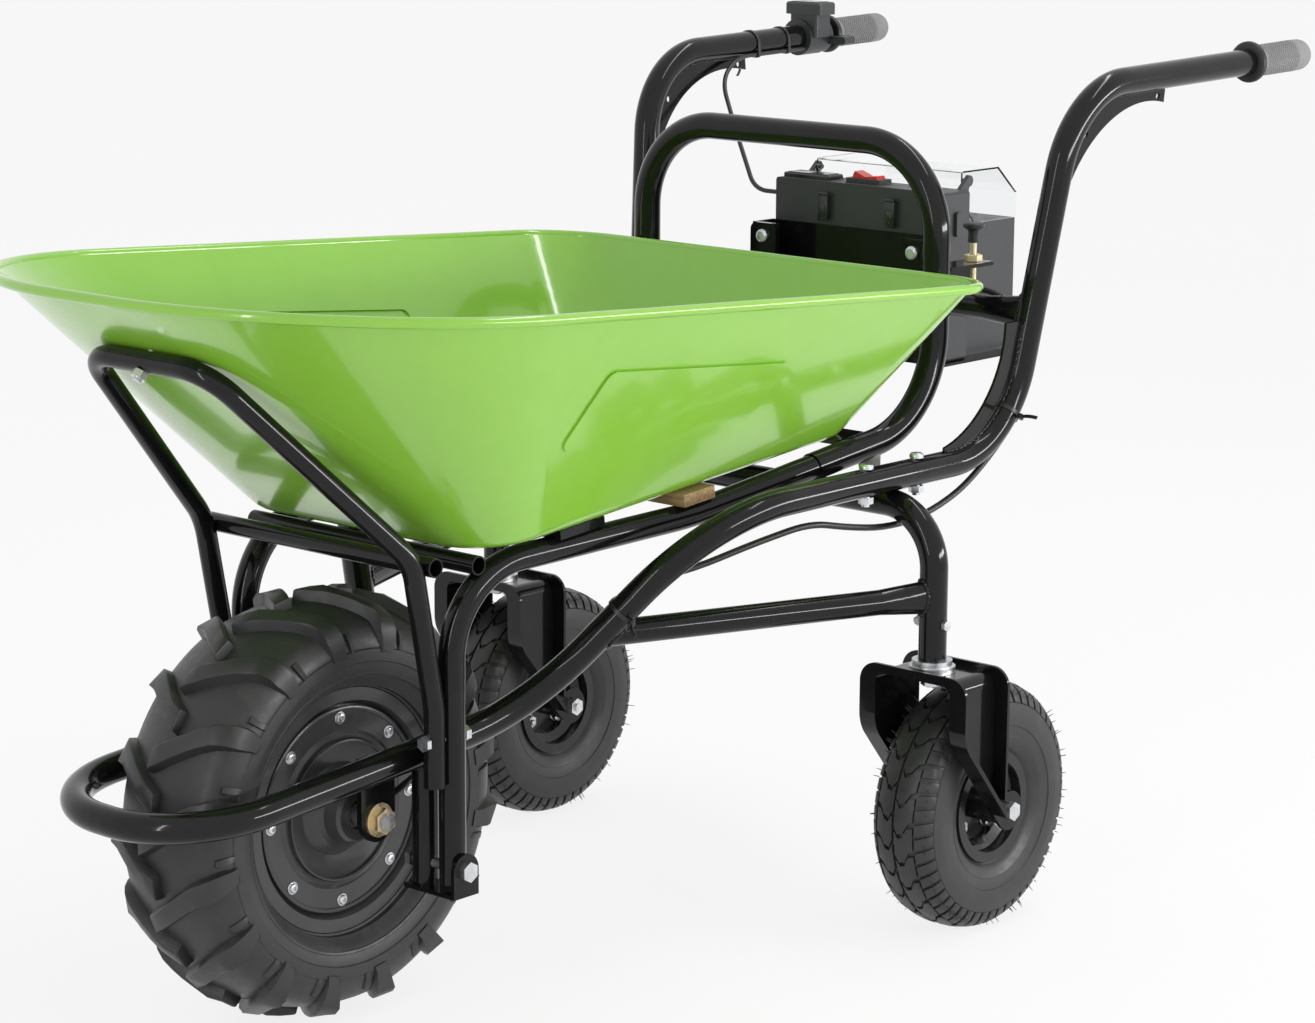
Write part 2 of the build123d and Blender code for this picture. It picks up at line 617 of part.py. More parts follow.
with BuildPart() as lug_envelope:
    with BuildSketch(spin_plane(axle_centre)):
        with BuildLine():
            TangentArc((0, TYRE_R), (TYRE_HALF, TYRE_R - LUG_DROP), tangent=(1, 0))
            Polyline((TYRE_HALF, TYRE_R - LUG_DROP), (TYRE_HALF, LUG_FOOT_R), (0, LUG_FOOT_R), (0, TYRE_R))
        make_face()
        mirror(about=Plane.YZ)
    revolve(axis=spin_axis)

LUG_SWEEP = 46.0           # how far a lug runs back between the middle and the shoulder
LUG_LAP = 8.0              # how far a lug reaches past the middle
LUG_KNEE = 0.62            # place where a lug turns out to the sidewall
knee_back = 0.8 * LUG_SWEEP
with BuildPart() as lug:
    with BuildSketch(Plane(origin=at(0, 0, AXLE_Z + LUG_FOOT_R + 2), x_dir=AHEAD, z_dir=UP)):
        with BuildLine():
            Polyline((-LUG_WIDTH / 2, -LUG_LAP), (LUG_WIDTH / 2, -LUG_LAP),
                     (LUG_WIDTH / 2 - knee_back, TYRE_HALF * LUG_KNEE),
                     (LUG_WIDTH / 2 - LUG_SWEEP, TYRE_HALF), (-LUG_WIDTH / 2 - LUG_SWEEP - 5, TYRE_HALF),
                     (-LUG_WIDTH / 2 - knee_back - 3, TYRE_HALF * LUG_KNEE), (-LUG_WIDTH / 2, -LUG_LAP))
        make_face()
    extrude(amount=TYRE_R)
    add(lug_envelope.part, mode=Mode.INTERSECT)
    add(drive_tyre.part, mode=Mode.SUBTRACT)
lug_pitch = 360 / LUG_COUNT
lug_solid = lug.part.solids().sort_by(SortBy.VOLUME)[-1]
other_lug = mirrored(lug_solid).rotate(spin_axis, lug_pitch / 2)
lugs = [row.rotate(spin_axis, step * lug_pitch) for row in (lug_solid, other_lug)
        for step in range(LUG_COUNT)]
tyre_solid = drive_tyre.part.fuse(*lugs)
save(tyre_solid, "drive_tyre")

# Castor stems: a plug bolted inside each post, the swivel bearing, the swivel pin and its nut
STEM_PLUG = 62.0
BEARING_D = 46.0
BEARING_H = 12.0
SWIVEL_NUT_H = 10.0
fork_top = POST_FOOT_Z - BEARING_H - FIT_GAP
swivel_nut_top = fork_top - FORK_T - FIT_GAP
swivel_pin_end = swivel_nut_top - SWIVEL_NUT_H - 2

with BuildPart() as castor_stems:
    for side in (POST_Y, -POST_Y):
        foot = at(POST_X, side, POST_FOOT_Z)
        add(straight_tube(foot, foot + UP * STEM_PLUG, SPIGOT_D))
        add(straight_tube(foot, foot + DOWN * BEARING_H, BEARING_D - 6))
        add(straight_tube(foot + DOWN * BEARING_H / 2, foot + DOWN * BEARING_H, BEARING_D))
        add(straight_tube(foot, at(POST_X, side, swivel_pin_end), KINGPIN_D))
        add(hex_prism(at(POST_X, side, swivel_nut_top), DOWN, 19, SWIVEL_NUT_H))
    add(stem_bolt_holes.part, mode=Mode.SUBTRACT)
save(castor_stems.part, "castor_stems")

with BuildPart() as stem_bolts:
    for side in (1, -1):
        outer = at(POST_X, side * (POST_Y + RAIL_R), stem_bolt_z)
        inner = at(POST_X, side * (POST_Y - RAIL_R), stem_bolt_z)
        add(straight_tube(outer, inner + RIGHT * side * 8, STEM_BOLT_D))
        add(hex_prism(outer, LEFT * side, 10, 4))
        add(hex_prism(inner, RIGHT * side, 10, 5))
save(stem_bolts.part, "stem_bolts")

# Castor fork: pressed from one sheet, with flanges turned outward along both edges
FORK_LIP = 6.0
FORK_KNEE_Z = 215.0        # front edge turns back to the axle here
EYE_R = 20.0
FLANGE_CLEAR = 7.0         # flanges end this far outside the axle eye
castor_x = POST_X - CASTOR_TRAIL
eye = (castor_x + AXLE_X, CASTOR_R)
knee = (POST_X + FORK_FRONT + AXLE_X, FORK_KNEE_Z)
rear_edge = POST_X - FORK_REAR + AXLE_X
eye_run = hypot(eye[0] - knee[0], eye[1] - knee[1])
eye_way = ((eye[0] - knee[0]) / eye_run, (eye[1] - knee[1]) / eye_run)
eye_lean = EYE_R / eye_run
eye_lift = (1 - eye_lean ** 2) ** 0.5
eye_tangent = (eye[0] + EYE_R * (-eye_way[1] * eye_lift - eye_way[0] * eye_lean),
               eye[1] + EYE_R * (eye_way[0] * eye_lift - eye_way[1] * eye_lean))
cheek_out = FORK_INSIDE / 2 + FORK_T


def fork_section(half, top, corner):
    """Inverted U of the fork seen from the front, as a block closed below the wheel's axle."""
    with BuildPart() as block:
        with BuildSketch(cross_plane(POST_X - FORK_REAR - 3 * EYE_R)) as section:
            with Locations((POST_Y, top / 2)):
                Rectangle(2 * half, top)
            fillet(section.vertices().group_by(Axis.Y)[-1], radius=corner)
        extrude(amount=FORK_FRONT + FORK_REAR + 6 * EYE_R)
    return block.part


def fork_outline(inset):
    """Side view of the fork, drawn in from its edge, as a block across the whole castor."""
    with BuildPart() as block:
        with BuildSketch(side_plane(POST_Y)) as outline:
            with BuildLine():
                Polyline((knee[0], fork_top + FORK_LIP), knee, eye_tangent, eye,
                         (rear_edge, CASTOR_R + EYE_R), (rear_edge, fork_top + FORK_LIP),
                         (knee[0], fork_top + FORK_LIP))
            make_face()
            with Locations(eye):
                Circle(EYE_R)
            fillet(outline.vertices().group_by(Axis.X)[-1].sort_by(Axis.Y)[0], radius=40)
            if inset:
                offset(amount=-inset, mode=Mode.REPLACE)
        extrude(amount=FORK_INSIDE, both=True)
    return block.part


fork_cavity = fork_section(FORK_INSIDE / 2, fork_top - FORK_T, 10)
flange_front = knee[0] - FORK_T
flange_rear = rear_edge + FORK_T
flange_top = fork_top + 2 * FORK_LIP
with BuildPart() as fork_flanges:
    add(fork_section(cheek_out + FORK_FLANGE, fork_top + FORK_LIP, 20))
    add(fork_outline(0), mode=Mode.INTERSECT)
    with BuildSketch(side_plane(POST_Y)):
        with BuildLine():
            Polyline((flange_front, flange_top), (flange_front, knee[1] + 4),
                     (eye_tangent[0] - 2, eye_tangent[1] + FORK_T), eye, (flange_rear, CASTOR_R + EYE_R),
                     (flange_rear, flange_top), (flange_front, flange_top))
        make_face()
        with Locations(eye):
            Circle(EYE_R + FLANGE_CLEAR)
    extrude(amount=FORK_INSIDE, both=True, mode=Mode.SUBTRACT)

with BuildPart() as left_castor_fork:
    add(fork_section(cheek_out, fork_top, 13))
    add(fork_outline(0), mode=Mode.INTERSECT)
    add(fork_flanges.part)
    add(fork_cavity, mode=Mode.SUBTRACT)
    with Locations(at(POST_X, POST_Y, fork_top)):
        Cylinder(KINGPIN_D / 2 + RUN_GAP, 4 * FORK_T, mode=Mode.SUBTRACT)
    with Locations(Location(at(castor_x, POST_Y, CASTOR_R), (90, 0, 0))):
        Cylinder(CASTOR_BOLT_D / 2 + BOLT_GAP, 2 * FORK_INSIDE, mode=Mode.SUBTRACT)
save(left_castor_fork.part, "left_castor_fork")
save(mirrored(left_castor_fork.part), "right_castor_fork")

# Castor axle: a bolt across the fork with a spacer on each side of the hub
CASTOR_HUB_HALF = 38.0
castor_centre = at(castor_x, POST_Y, CASTOR_R)
with BuildPart() as left_castor_axle:
    bolt_end = castor_centre + RIGHT * (cheek_out + 11)
    add(straight_tube(bolt_end, castor_centre + LEFT * cheek_out, CASTOR_BOLT_D))
    add(hex_prism(castor_centre + LEFT * cheek_out, LEFT, 17, 6.5))
    add(hex_prism(castor_centre + RIGHT * cheek_out, RIGHT, 17, 8))
    for side in (LEFT, RIGHT):
        hub_side = castor_centre + side * (CASTOR_HUB_HALF + FIT_GAP)
        add(straight_tube(hub_side, castor_centre + side * FORK_INSIDE / 2, 2 * CASTOR_BOLT_D - 2))
save(left_castor_axle.part, "left_castor_axle")
save(mirrored(left_castor_axle.part), "right_castor_axle")

# Castor rim: two pressed halves bolted together on a hub tube
CASTOR_BEAD_R = 50.0
CASTOR_RIM_HALF = 29.0
RIM_SHEET = 3.0
RIM_BOLT_CIRCLE_R = 31.0
castor_axis = Axis(castor_centre, (0, 1, 0))
rim_half_profile = [(RIM_SHEET, CASTOR_BEAD_R - 9), (10, CASTOR_BEAD_R - 9), (15, CASTOR_BEAD_R),
                    (CASTOR_RIM_HALF - RIM_SHEET, CASTOR_BEAD_R), (CASTOR_RIM_HALF - RIM_SHEET, CASTOR_RIM_R),
                    (CASTOR_RIM_HALF, CASTOR_RIM_R), (CASTOR_RIM_HALF, CASTOR_BEAD_R - RIM_SHEET),
                    (17, CASTOR_BEAD_R - RIM_SHEET), (12, CASTOR_BEAD_R - 9 - RIM_SHEET),
                    (RIM_SHEET, CASTOR_BEAD_R - 9 - RIM_SHEET)]
far_half_profile = [(-across, out) for across, out in reversed(rim_half_profile)]
with BuildPart() as left_castor_rim:
    with BuildSketch(spin_plane(castor_centre)):
        with BuildLine():
            Polyline(*rim_half_profile, *far_half_profile, close=True)
        make_face()
        with Locations((0, (CASTOR_BEAD_R - 9) / 2)):
            Rectangle(2 * RIM_SHEET, CASTOR_BEAD_R - 9)
        with Locations((0, 8)):
            Rectangle(2 * CASTOR_HUB_HALF, 16)
        with Locations((0, (CASTOR_BOLT_D / 2 + RUN_GAP) / 2)):
            Rectangle(3 * CASTOR_HUB_HALF, CASTOR_BOLT_D / 2 + RUN_GAP, mode=Mode.SUBTRACT)
    revolve(axis=castor_axis)
    for side in (1, -1):
        sheet_face = castor_centre + LEFT * side * RIM_SHEET
        with BuildSketch(Plane(origin=sheet_face, x_dir=AHEAD, z_dir=LEFT * side)):
            with PolarLocations(RIM_BOLT_CIRCLE_R, 4, start_angle=45):
                RegularPolygon(radius=6.5, side_count=6, major_radius=False)
        extrude(amount=6)
save(left_castor_rim.part, "left_castor_rim")
save(mirrored(left_castor_rim.part), "right_castor_rim")

# Castor tyre: a turned carcass with a zigzag middle groove left by two rows of slanted notches
CASTOR_NOTCHES = 26
NOTCH_DEPTH = 5.0
NOTCH_WIDTH = 6.0
CASTOR_CASING = 8.0        # sidewall thickness
CASTOR_CROWN = 14.0        # thickness under the middle of the tread
bead_out = CASTOR_RIM_HALF - RIM_SHEET - FIT_GAP
bead_in = bead_out - CASTOR_CASING
castor_section_r = (CASTOR_RIM_R + CASTOR_R) / 2
SHOULDER_W = 27.0          # half width of the tread
casing_w = SHOULDER_W - 9
shoulder_z = CASTOR_R - 9
casing_z = shoulder_z - 10
with BuildPart() as castor_tyre_blank:
    with BuildSketch(spin_plane(castor_centre)):
        with BuildLine():
            ThreePointArc((-SHOULDER_W, shoulder_z), (0, CASTOR_R), (SHOULDER_W, shoulder_z))
            ThreePointArc((-casing_w, casing_z), (0, CASTOR_R - CASTOR_CROWN), (casing_w, casing_z))
            for side in (1, -1):
                ThreePointArc((side * SHOULDER_W, shoulder_z), (side * CASTOR_HALF, castor_section_r),
                              (side * bead_out, CASTOR_RIM_R + 1))
                Polyline((side * bead_out, CASTOR_RIM_R + 1), (side * bead_out, CASTOR_BEAD_R),
                         (side * bead_in, CASTOR_BEAD_R), (side * bead_in, CASTOR_RIM_R + 4))
                ThreePointArc((side * bead_in, CASTOR_RIM_R + 4),
                              (side * (CASTOR_HALF - CASTOR_CASING), castor_section_r),
                              (side * casing_w, casing_z))
        make_face()
    revolve(axis=castor_axis)

with BuildPart() as notch:
    with BuildSketch(Plane(origin=castor_centre + UP * (CASTOR_R - 9 - NOTCH_DEPTH), x_dir=AHEAD, z_dir=UP)):
        with BuildLine():
            Polyline((0, 6), (NOTCH_WIDTH, 6), (NOTCH_WIDTH + 9, CASTOR_HALF), (9, CASTOR_HALF), (0, 6))
        make_face()
    extrude(amount=CASTOR_R)
notch_pitch = 360 / CASTOR_NOTCHES
far_notch = mirror(notch.part, about=Plane.XZ.offset(-POST_Y)).rotate(castor_axis, notch_pitch / 2)
notches = [row.rotate(castor_axis, step * notch_pitch) for row in (notch.part, far_notch)
           for step in range(CASTOR_NOTCHES)]
left_castor_tyre = castor_tyre_blank.part.cut(*notches)
save(left_castor_tyre, "left_castor_tyre")
save(left_castor_tyre.moved(Location((0, -2 * POST_Y, 0))), "right_castor_tyre")

# Tipping frame: a bent rail on each side that stands on the tipping axis and slides into the hoop's foot
TIP_BEND = 85.0
KNEE_BEND = 400.0
HOOP_END_X = -505.0
TIP_INSERT = 40.0          # length inside the hoop's foot
tip_corner = at(TIP_X, TIP_Y, TIP_CORNER_Z)
tip_knee = at(TIP_KNEE_X, TIP_KNEE_Y, TIP_KNEE_Z)
hoop_corner = at(HOOP_X, HOOP_Y, HOOP_FOOT_Z)


def tip_rail_at(ahead):
    """Point on the straight runs of the left tipping rail and of the hoop's foot behind it."""
    if ahead > TIP_KNEE_X:
        return tip_corner + (tip_knee - tip_corner) * (TIP_X - ahead) / (TIP_X - TIP_KNEE_X)
    return tip_knee + (hoop_corner - tip_knee) * (TIP_KNEE_X - ahead) / (TIP_KNEE_X - HOOP_X)


tip_points = [at(TIP_X, TIP_Y, TIP_PIVOT_Z - TIP_FOOT), tip_corner, tip_knee,
              tip_rail_at(HOOP_END_X - TIP_INSERT)]
tip_bends = [TIP_BEND, KNEE_BEND]
tip_bar = bent_tube(tip_points, tip_bends, TIP_D)
FOOT_BOLT_Z = 281.0
FOOT_BOLT_D = 8.0
front_foot_x = TIP_X + TIP_R + FRONT_D / 2
with BuildPart() as foot_bolt_holes:
    for side in (TIP_Y, -TIP_Y):
        with Locations(Location(at(front_foot_x, side, FOOT_BOLT_Z), (0, 90, 0))):
            Cylinder(FOOT_BOLT_D / 2 + BOLT_GAP, 4 * TIP_D)

with BuildPart() as left_tip_rail:
    add(bent_tube(tip_points, tip_bends, TIP_D, TIP_WALL))
    with Locations(Location(at(TIP_X, TIP_Y, TIP_PIVOT_Z), (90, 0, 0))):
        Cylinder(PIVOT_BOLT_D / 2 + RUN_GAP, 2 * TIP_D, mode=Mode.SUBTRACT)
    add(foot_bolt_holes.part, mode=Mode.SUBTRACT)
save(left_tip_rail.part, "left_tip_rail")
save(mirrored(left_tip_rail.part), "right_tip_rail")

# Rear hoop, whose feet take the ends of the tipping rails
HOOP_FOOT_BEND = 105.0
HOOP_TOP_BEND = 92.0
hoop_wall = HOOP_R - TIP_R - BOLT_GAP
left_hoop = [tip_rail_at(HOOP_END_X), hoop_corner, at(HOOP_X, HOOP_Y, HOOP_TOP)]
hoop_points = left_hoop + [other_side(point) for point in reversed(left_hoop)]
hoop_bends = [HOOP_FOOT_BEND, HOOP_TOP_BEND, HOOP_TOP_BEND, HOOP_FOOT_BEND]
hoop_bar = bent_tube(hoop_points, hoop_bends, HOOP_D)
save(bent_tube(hoop_points, hoop_bends, HOOP_D, hoop_wall), "rear_hoop")

# Rubber buffers under the hoop's feet
BUFFER_X = -590.0
BUFFER_D = 22.0
BUFFER_H = 10.0            # height below the hoop
buffer_seat = tip_rail_at(BUFFER_X)
with BuildPart() as rest_buffers:
    add(both_sides(straight_tube(buffer_seat + DOWN * (HOOP_R + BUFFER_H), buffer_seat, BUFFER_D)))
    fillet(rest_buffers.edges().filter_by(GeomType.CIRCLE).group_by(Axis.Z)[0], radius=3)
    add(hoop_bar, mode=Mode.SUBTRACT)
save(rest_buffers.part, "rest_buffers")

# Tray: a ruled shell between a sloping floor and a sloping rim, with a rolled edge and pressed side panels
TRAY_FLOOR_FRONT_R = 65.0
TRAY_FLOOR_REAR_R = 50.0
TRAY_RIM_FRONT_R = 262.0
TRAY_RIM_REAR_R = 72.0
TRAY_FLOOR_FILLET = 22.0
BEAD_BITE = 0.6            # depth that the rolled edge is welded into the wall
PANEL_RAISE = 2.5
PANEL_R = 10.0
slope_length = hypot(1, TRAY_FLOOR_RISE)


def tray_floor_z(ahead):
    """Height of the tray floor's underside."""
    return TRAY_FLOOR_Z - TRAY_FLOOR_RISE * ahead


def tray_rim_z(ahead):
    """Height of the tray's rim."""
    return TRAY_RIM_Z + TRAY_RIM_RISE * ahead


def tray_face(plane, front, rear, half, front_r, rear_r):
    """Level outline of the tray on a sloping plane, with its own front and rear corners."""
    stretch = 1 / plane.x_dir.X
    with BuildSketch(plane) as outline:
        with Locations(((front + rear) / 2 * stretch, 0)):
            Rectangle((front - rear) * stretch, 2 * half)
        fillet(outline.vertices().group_by(Axis.X)[-1], radius=front_r)
        fillet(outline.vertices().group_by(Axis.X)[0], radius=rear_r)
    return outline.sketch


floor_plane = Plane(origin=at(0, 0, TRAY_FLOOR_Z), x_dir=(1, 0, -TRAY_FLOOR_RISE),
                    z_dir=(TRAY_FLOOR_RISE, 0, 1))
rim_plane = Plane(origin=at(0, 0, TRAY_RIM_Z), x_dir=(1, 0, TRAY_RIM_RISE), z_dir=(-TRAY_RIM_RISE, 0, 1))
bead_out_by = TRAY_BEAD_R - BEAD_BITE
with BuildPart() as tray_block:
    add(tray_face(floor_plane, TRAY_FLOOR_FRONT, TRAY_FLOOR_REAR, TRAY_FLOOR_HALF, TRAY_FLOOR_FRONT_R,
                  TRAY_FLOOR_REAR_R))
    add(tray_face(rim_plane, TRAY_RIM_FRONT, TRAY_RIM_REAR, TRAY_RIM_HALF, TRAY_RIM_FRONT_R, TRAY_RIM_REAR_R))
    loft(ruled=True)
    fillet(tray_block.faces().sort_by(Axis.Z)[0].edges(), radius=TRAY_FLOOR_FILLET)


def panel_block(inset):
    """Block across the barrow with the outline of the pressed side panels."""
    with BuildPart() as block:
        with BuildSketch(side_plane(0)) as outline:
            with BuildLine():
                Polyline((-95 + AXLE_X, 548), (-120 + AXLE_X, 622), (-385 + AXLE_X, 598),
                         (-355 + AXLE_X, 528), (-95 + AXLE_X, 548))
            make_face()
            fillet(outline.vertices(), radius=PANEL_R)
            if inset:
                offset(amount=-inset, mode=Mode.REPLACE)
        extrude(amount=2 * TRAY_RIM_HALF, both=True)
    return block.part


rim_outline = tray_face(rim_plane, TRAY_RIM_FRONT + bead_out_by, TRAY_RIM_REAR - bead_out_by,
                        TRAY_RIM_HALF + bead_out_by, TRAY_RIM_FRONT_R + bead_out_by,
                        TRAY_RIM_REAR_R + bead_out_by)
rim_edge = rim_outline.face().outer_wire()
raised = [tray_block.part.moved(Location((0, side * PANEL_RAISE, 0))) for side in (1, -1)]
lift = Location((0, 0, TRAY_WALL))
with BuildPart() as tray_panels:
    add(raised[0])
    add(raised[1])
    add(panel_block(0), mode=Mode.INTERSECT)
with BuildPart() as tray_hollow:
    add(raised[0].moved(lift))
    add(raised[1].moved(lift))
    add(panel_block(PANEL_RAISE), mode=Mode.INTERSECT)
    add(tray_block.part.moved(lift))
with BuildPart() as tray_shell:
    add(tray_block.part)
    add(tray_panels.part)
    with BuildSketch(Plane(origin=rim_edge @ 0, z_dir=rim_edge % 0)):
        Circle(TRAY_BEAD_R)
    sweep(path=rim_edge)
    add(tray_hollow.part, mode=Mode.SUBTRACT)
    split(bisect_by=Plane.XZ, keep=Keep.BOTTOM)
    mirror(about=Plane.XZ)

# Front hoop: up from the tipping rails and across the tray's front wall
FRONT_FOOT_Z = 238.0
FRONT_BEND_X = 2.0
FRONT_BEND_Z = 452.0
FRONT_BAR_HALF = 78.0
FRONT_BAR_SHARE = 0.78     # place of the cross run on the front wall
wall_foot = at(TRAY_FLOOR_FRONT, 0, tray_floor_z(TRAY_FLOOR_FRONT))
wall_run = at(TRAY_RIM_FRONT, 0, tray_rim_z(TRAY_RIM_FRONT)) - wall_foot
wall_out = Vector(wall_run.Z, 0, -wall_run.X).normalized()
bar_seat = wall_foot + wall_run * FRONT_BAR_SHARE
bar_middle = bar_seat + wall_out * (FRONT_D / 2)
left_front = [at(front_foot_x, TIP_Y, FRONT_FOOT_Z), at(front_foot_x, TIP_Y, FOOT_BOLT_Z + 30),
              at(FRONT_BEND_X, TIP_Y, FRONT_BEND_Z), Vector(bar_middle.X, FRONT_BAR_HALF, bar_middle.Z)]
front_points = left_front + [other_side(point) for point in reversed(left_front)]
front_bends = [60, 60, 42, 42, 60, 60]
front_bar = bent_tube(front_points, front_bends, FRONT_D)
TRAY_BOLT_D = 8.0
with BuildPart() as front_bolt_hole:
    with Locations(Plane(origin=bar_middle, z_dir=wall_out)):
        Cylinder(TRAY_BOLT_D / 2 + BOLT_GAP, 3 * FRONT_D)
with BuildPart() as front_hoop:
    add(bent_tube(front_points, front_bends, FRONT_D, FRONT_WALL))
    add(foot_bolt_holes.part, mode=Mode.SUBTRACT)
    add(front_bolt_hole.part, mode=Mode.SUBTRACT)
save(front_hoop.part, "front_hoop")

# Cross tubes, open at their ends: one behind the front hoop and one over the bends of the tipping rails
TIE_D = 18.0
TIE_HALF = 150.0
FRONT_TIE_Z = 444.0
RAIL_TIE_TURN = 35.0       # place of the rear tube on the bends, turned from straight up
front_tie_x = FRONT_BEND_X - (FRONT_D + TIE_D) / 2
tip_turn = radians(UP.get_angle(tip_knee - tip_corner))
rail_tie_out = TIP_BEND + TIP_R + TIE_D / 2 - 2 * WELD_BITE
rail_tie_x = TIP_X - TIP_BEND + rail_tie_out * sin(radians(RAIL_TIE_TURN))
rail_tie_z = TIP_CORNER_Z - TIP_BEND * tan(tip_turn / 2) + rail_tie_out * cos(radians(RAIL_TIE_TURN))
with BuildPart() as cross_tubes:
    for left_end in (at(front_tie_x, TIE_HALF, FRONT_TIE_Z), at(rail_tie_x, TIE_HALF, rail_tie_z)):
        add(straight_tube(other_side(left_end), left_end, TIE_D, FRONT_WALL))
    add(front_bar, mode=Mode.SUBTRACT)
    add(both_sides(tip_bar), mode=Mode.SUBTRACT)
save(cross_tubes.part, "cross_tubes")

# Tray supports: a strap and a packing strip across the tipping rails, and a strap across the hoop's feet
FRONT_STRAP_X = -190.0
FRONT_STRAP_W = 60.0
STRIP_X = -335.0
STRIP_W = 44.0
REAR_STRAP_X = -568.0
REAR_STRAP_W = 44.0
REAR_BOLT_X = -556.0
REAR_STRAP_T = 4.0
FLOOR_BOLT_Y = 105.0
floor_normal = Vector(TRAY_FLOOR_RISE, 0, 1).normalized()


def floor_point(ahead, left):
    """Point on the underside of the tray's floor."""
    return at(ahead, left, tray_floor_z(ahead))


def rail_space(ahead):
    """Thickness that fits between the tray's floor and the top of the tipping rails."""
    run = tip_rail_at(ahead - 1) - tip_rail_at(ahead + 1)
    return (tray_floor_z(ahead) - tip_rail_at(ahead).Z - TIP_R * hypot(run.X, run.Z) / -run.X) / slope_length


def floor_strip(ahead, half, width, thickness):
    """Flat strip across the barrow against the underside of the tray's floor."""
    with BuildPart() as strip:
        with BuildSketch(Plane(origin=floor_point(ahead, 0), x_dir=LEFT, z_dir=-floor_normal)):
            Rectangle(2 * half, width)
        extrude(amount=thickness)
    return strip.part


front_strap_t = rail_space(FRONT_STRAP_X)
strip_t = rail_space(STRIP_X - STRIP_W / 2)
front_strap_half = tip_rail_at(FRONT_STRAP_X).Y + TIP_R
strip_half = tip_rail_at(STRIP_X).Y + TIP_R
rear_strap_half = tip_rail_at(REAR_STRAP_X).Y - HOOP_R / 2
floor_bolts = [(FRONT_STRAP_X, front_strap_t), (REAR_BOLT_X, REAR_STRAP_T)]

with BuildPart() as floor_bolt_holes:
    for bolt_x, thickness in floor_bolts:
        for side in (FLOOR_BOLT_Y, -FLOOR_BOLT_Y):
            with Locations(Plane(origin=floor_point(bolt_x, side), z_dir=floor_normal)):
                Cylinder(TRAY_BOLT_D / 2 + BOLT_GAP, 2 * (thickness + TRAY_BOLT_D))

save(floor_strip(STRIP_X, strip_half, STRIP_W, strip_t), "packing_strip")

with BuildPart() as rear_strap:
    add(floor_strip(REAR_STRAP_X, rear_strap_half, REAR_STRAP_W, REAR_STRAP_T))
    add(hoop_bar, mode=Mode.SUBTRACT)
with BuildPart() as tray_straps:
    add(floor_strip(FRONT_STRAP_X, front_strap_half, FRONT_STRAP_W, front_strap_t))
    add(both_sides(tip_bar), mode=Mode.SUBTRACT)
    add(rear_strap.part.solids().sort_by(SortBy.VOLUME)[-1])
    add(floor_bolt_holes.part, mode=Mode.SUBTRACT)
save(tray_straps.part, "tray_straps")

with BuildPart() as tray:
    add(tray_shell.part)
    add(floor_bolt_holes.part, mode=Mode.SUBTRACT)
    add(front_bolt_hole.part, mode=Mode.SUBTRACT)
save(tray.part, "tray")

TRAY_HEAD_H = 4.0
TRAY_HEAD_D = 17.6
TRAY_THREAD = 9.0          # bolt length below the seat of its nut
with BuildPart() as tray_bolts:
    for bolt_x, thickness in floor_bolts:
        for side in (FLOOR_BOLT_Y, -FLOOR_BOLT_Y):
            seat = floor_point(bolt_x, side)
            head = seat + floor_normal * TRAY_WALL / slope_length
            nut = seat - floor_normal * thickness
            add(straight_tube(nut - floor_normal * TRAY_THREAD, head, TRAY_BOLT_D))
            add(straight_tube(head, head + floor_normal * TRAY_HEAD_H, TRAY_HEAD_D))
            add(hex_prism(nut, -floor_normal, 13, NUT_H))
    wall_head = bar_seat - wall_out * (TRAY_WALL * -wall_out.Z)
    wall_nut = bar_seat + wall_out * FRONT_D
    add(straight_tube(wall_head, wall_nut + wall_out * TRAY_THREAD, TRAY_BOLT_D))
    add(straight_tube(wall_head - wall_out * TRAY_HEAD_H, wall_head, TRAY_HEAD_D))
    add(hex_prism(wall_nut, wall_out, 13, NUT_H))
    for side in (TIP_Y, -TIP_Y):
        foot_head = at(front_foot_x + FRONT_D / 2, side, FOOT_BOLT_Z)
        foot_nut = at(TIP_X - TIP_R, side, FOOT_BOLT_Z)
        add(straight_tube(foot_nut + BACK * TRAY_THREAD, foot_head, FOOT_BOLT_D))
        add(hex_prism(foot_head, AHEAD, 13, HEAD_H))
        add(hex_prism(foot_nut, BACK, 13, NUT_H))
save(tray_bolts.part, "tray_bolts")

